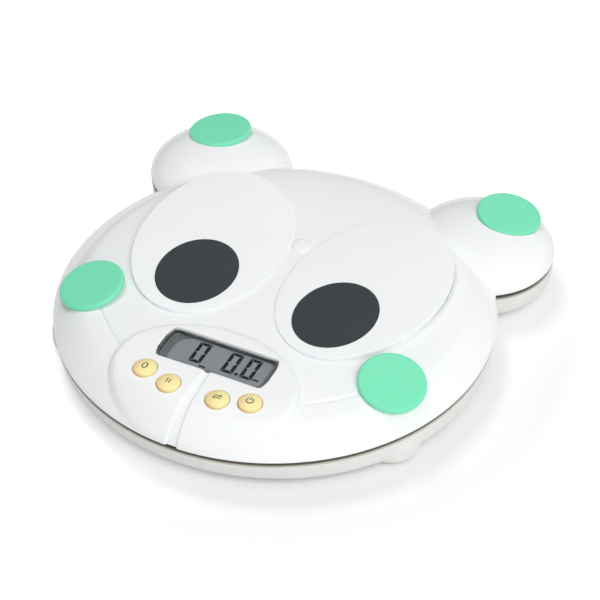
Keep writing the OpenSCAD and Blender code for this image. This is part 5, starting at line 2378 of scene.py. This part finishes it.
@dataclass
class CarriedNodes:
    """Nodes of the frame whose shape stays, with the finish that each gets."""

    nodes_of: dict[str, tuple[str, ...]] = field(default_factory=lambda: {
        "clear_window": ("display_window",), "panel_lcd": ("display_panel",),
        "black_rubber": ("display_contact_strips",), "circuit_green": ("main_board",),
        "resin_black": ("controller_chip",), "switch_black": ("key_switches",),
        "steel": ("board_screws", "retaining_screws", "front_left_load_cell",
                  "front_right_load_cell", "rear_left_load_cell", "rear_right_load_cell",
                  "load_cell_screws", "battery_tray_screws", "spring_contacts", "flat_contacts"),
        "foot_rubber": ("front_left_foot", "front_right_foot", "rear_left_foot",
                        "rear_right_foot"),
        "tray_white": ("battery_tray",), "battery_wrap": ("batteries",),
        "base_grey": ("battery_cover",), "ivory": ("lead_junction",),
        "lead_red": ("cell_leads",), "lead_black": ("battery_leads",),
        "ribbon_grey": ("board_ribbon",)})

    def dress(self, finishes: Finishes) -> None:
        """Gives every carried node its finish.

        Args:
            finishes: All materials.
        """
        for finish, names in self.nodes_of.items():
            for name in names:
                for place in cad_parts[name].material_slots:
                    place.material = finishes[finish]
                LOG.info("%s: dressed in %s", name, finish)


# ---------------------------------------------------------------------------------------------
# Stage
# ---------------------------------------------------------------------------------------------


@dataclass
class Studio:
    """Floor, light and camera."""

    camera_at: Triple = (516.3, -1041.2, 1032.7)
    aim: Triple = (13.7, -0.9, 29.6)
    focal_px: float = 2276.0
    image_px: float = 600.0
    sensor_mm: float = 36.0
    floor_half_m: float = 6.0
    floor_colour: Triple = (251.0, 251.0, 251.0)
    # Painted light on the floor, seen by the camera only: dim near the object towards the right
    # front, bright on the other sides and far off.
    floor_painted_light: Pair = (0.01, 0.5)
    shade_way: Pair = (0.88, -0.47)
    shade_reach_m: float = 0.16
    shade_edge_m: Pair = (0.185, 0.27)
    sky: float = 0.45
    sky_way: Triple = (0.78, -0.42, 0.46)
    sky_middle: float = 0.78
    sky_swing: float = 0.85
    key_watts: float = 28.0
    key_at: Triple = (1.5, -1.15, 1.9)
    key_size: float = 1.6
    side_watts: float = 20.0
    side_at: Triple = (-1.05, 0.8, 2.4)
    side_size: float = 1.0

    def build(self) -> None:
        """Builds all of it."""
        self.add_camera()
        self.add_sky()
        self.add_lamp("key_light", self.key_watts, self.key_at, self.key_size)
        self.add_lamp("side_light", self.side_watts, self.side_at, self.side_size)
        self.add_floor()

    def add_camera(self) -> None:
        """Adds the camera at the photograph's viewing angle."""
        lens = bpy.data.cameras.new("camera")
        lens.sensor_width = self.sensor_mm
        lens.lens = self.sensor_mm * self.focal_px / self.image_px
        lens.clip_end = 20.0
        camera = bpy.data.objects.new("camera", lens)
        camera.location = Vector(self.camera_at) * MM
        way = (Vector(self.aim) - Vector(self.camera_at)).normalized()
        camera.rotation_euler = way.to_track_quat("-Z", "Y").to_euler()
        bpy.context.scene.collection.objects.link(camera)
        bpy.context.scene.camera = camera
        bpy.context.scene.view_settings.view_transform = "Standard"

    def add_sky(self) -> None:
        """Adds the surrounding light, brighter towards the right front, white where it is seen."""
        world = bpy.data.worlds.new("studio_light")
        world.use_nodes = True
        bpy.context.scene.world = world
        board = NodeBoard(world.node_tree)
        back = world.node_tree.nodes["Background"]
        glossy = board.node("ShaderNodeLightPath").outputs["Is Glossy Ray"]
        facing = board.along(board.node("ShaderNodeTexCoord").outputs["Generated"], self.sky_way)
        swing = board.sums("MULTIPLY_ADD", facing, self.sky_swing, self.sky_middle)
        level = board.sums("MULTIPLY_ADD", glossy, 1.0 - self.sky, self.sky)
        lit = board.sums("MULTIPLY", swing, level)
        board.wire(board.sums("MAXIMUM", lit, board.seen()), back.inputs["Strength"])
        back.inputs["Color"].default_value = (1.0, 1.0, 1.0, 1.0)

    def add_lamp(self, name: str, watts: float, place: Triple, size: float) -> None:
        """Adds a soft lamp that looks at the middle of the floor.

        Args:
            name: Name of the lamp.
            watts: Its power.
            place: Where it stands, in metres.
            size: Its width and height, in metres.
        """
        lamp = bpy.data.lights.new(name, "AREA")
        lamp.energy = watts
        lamp.size = size
        holder = bpy.data.objects.new(name, lamp)
        holder.location = place
        holder.visible_glossy = False
        holder.rotation_euler = (-Vector(place)).to_track_quat("-Z", "Y").to_euler()
        bpy.context.scene.collection.objects.link(holder)

    def add_floor(self) -> None:
        """Adds the pale floor, which keeps the object's shadow towards the right front; to the
        left, the rear and far off, painted light seen by the camera covers the shadow.
        """
        h = self.floor_half_m
        mesh = bpy.data.meshes.new("floor")
        corners = [(-h, -h, 0.0), (h, -h, 0.0), (h, h, 0.0), (-h, h, 0.0)]
        mesh.from_pydata(corners, [], [(0, 1, 2, 3)])
        material = bpy.data.materials.new("pale_floor")
        material.use_nodes = True
        board = NodeBoard(material.node_tree)
        shader = material.node_tree.nodes["Principled BSDF"]
        fill_sockets(shader, {"Base Color": rgba(self.floor_colour), "Roughness": 0.9,
                              "Specular IOR Level": 0.0})
        # Painted light: covers the floor's shadow to the left, the rear and far off, and leaves it
        # near the right front.
        dim, bright = self.floor_painted_light
        place = board.object_space()
        facing = board.along(place, (*self.shade_way, 0.0))
        reach = self.shade_reach_m
        spread = board.spread(facing, (-reach, reach), (bright, dim))
        far = board.node("ShaderNodeVectorMath", operation="LENGTH")
        board.wire(place, far.inputs[0])
        edge = board.spread(far.outputs["Value"], self.shade_edge_m, (0.0, bright))
        level = board.sums("MAXIMUM", spread, edge)
        glow = board.node("ShaderNodeEmission")
        board.wire(board.sums("MULTIPLY", board.seen(), level), glow.inputs["Strength"])
        both = board.node("ShaderNodeAddShader")
        board.wire(shader.outputs[0], both.inputs[0])
        board.wire(glow.outputs[0], both.inputs[1])
        board.wire(both.outputs[0], material.node_tree.nodes["Material Output"].inputs["Surface"])
        mesh.materials.append(material)
        floor = bpy.data.objects.new("floor", mesh)
        bpy.context.scene.collection.objects.link(floor)
        floor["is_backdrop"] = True


def note_sizes(cad: Bounds) -> None:
    """Measures the dressed model's box and sets it beside the frame's box; nothing is kept.

    Args:
        cad: Lowest and highest corner of the frame.
    """
    low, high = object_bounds()
    ({"cad": [[float(v) for v in corner] for corner in cad],
               "visual": [[float(v) for v in low], [float(v) for v in high]]})


def main() -> None:
    """Builds the scale and its stage."""
    logging.basicConfig(level=logging.INFO, format="%(message)s")
    cad = tuple(tuple(float(v) for v in corner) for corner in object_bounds())
    Studio().build()
    finishes = Finishes(Effects())
    CarriedNodes().dress(finishes)
    platform = Platform()
    platform.build(finishes)
    FootPlates().build(platform, finishes)
    TrayPads().build(platform, finishes)
    CentrePlug().build(finishes)
    buttons = Buttons()
    buttons.build(finishes)
    ReturnSprings().build(buttons.spots, finishes["steel"])
    Display().build(platform, finishes)
    BaseTub().build(finishes)
    note_sizes(cad)


if __name__ == "__main__":
    main()
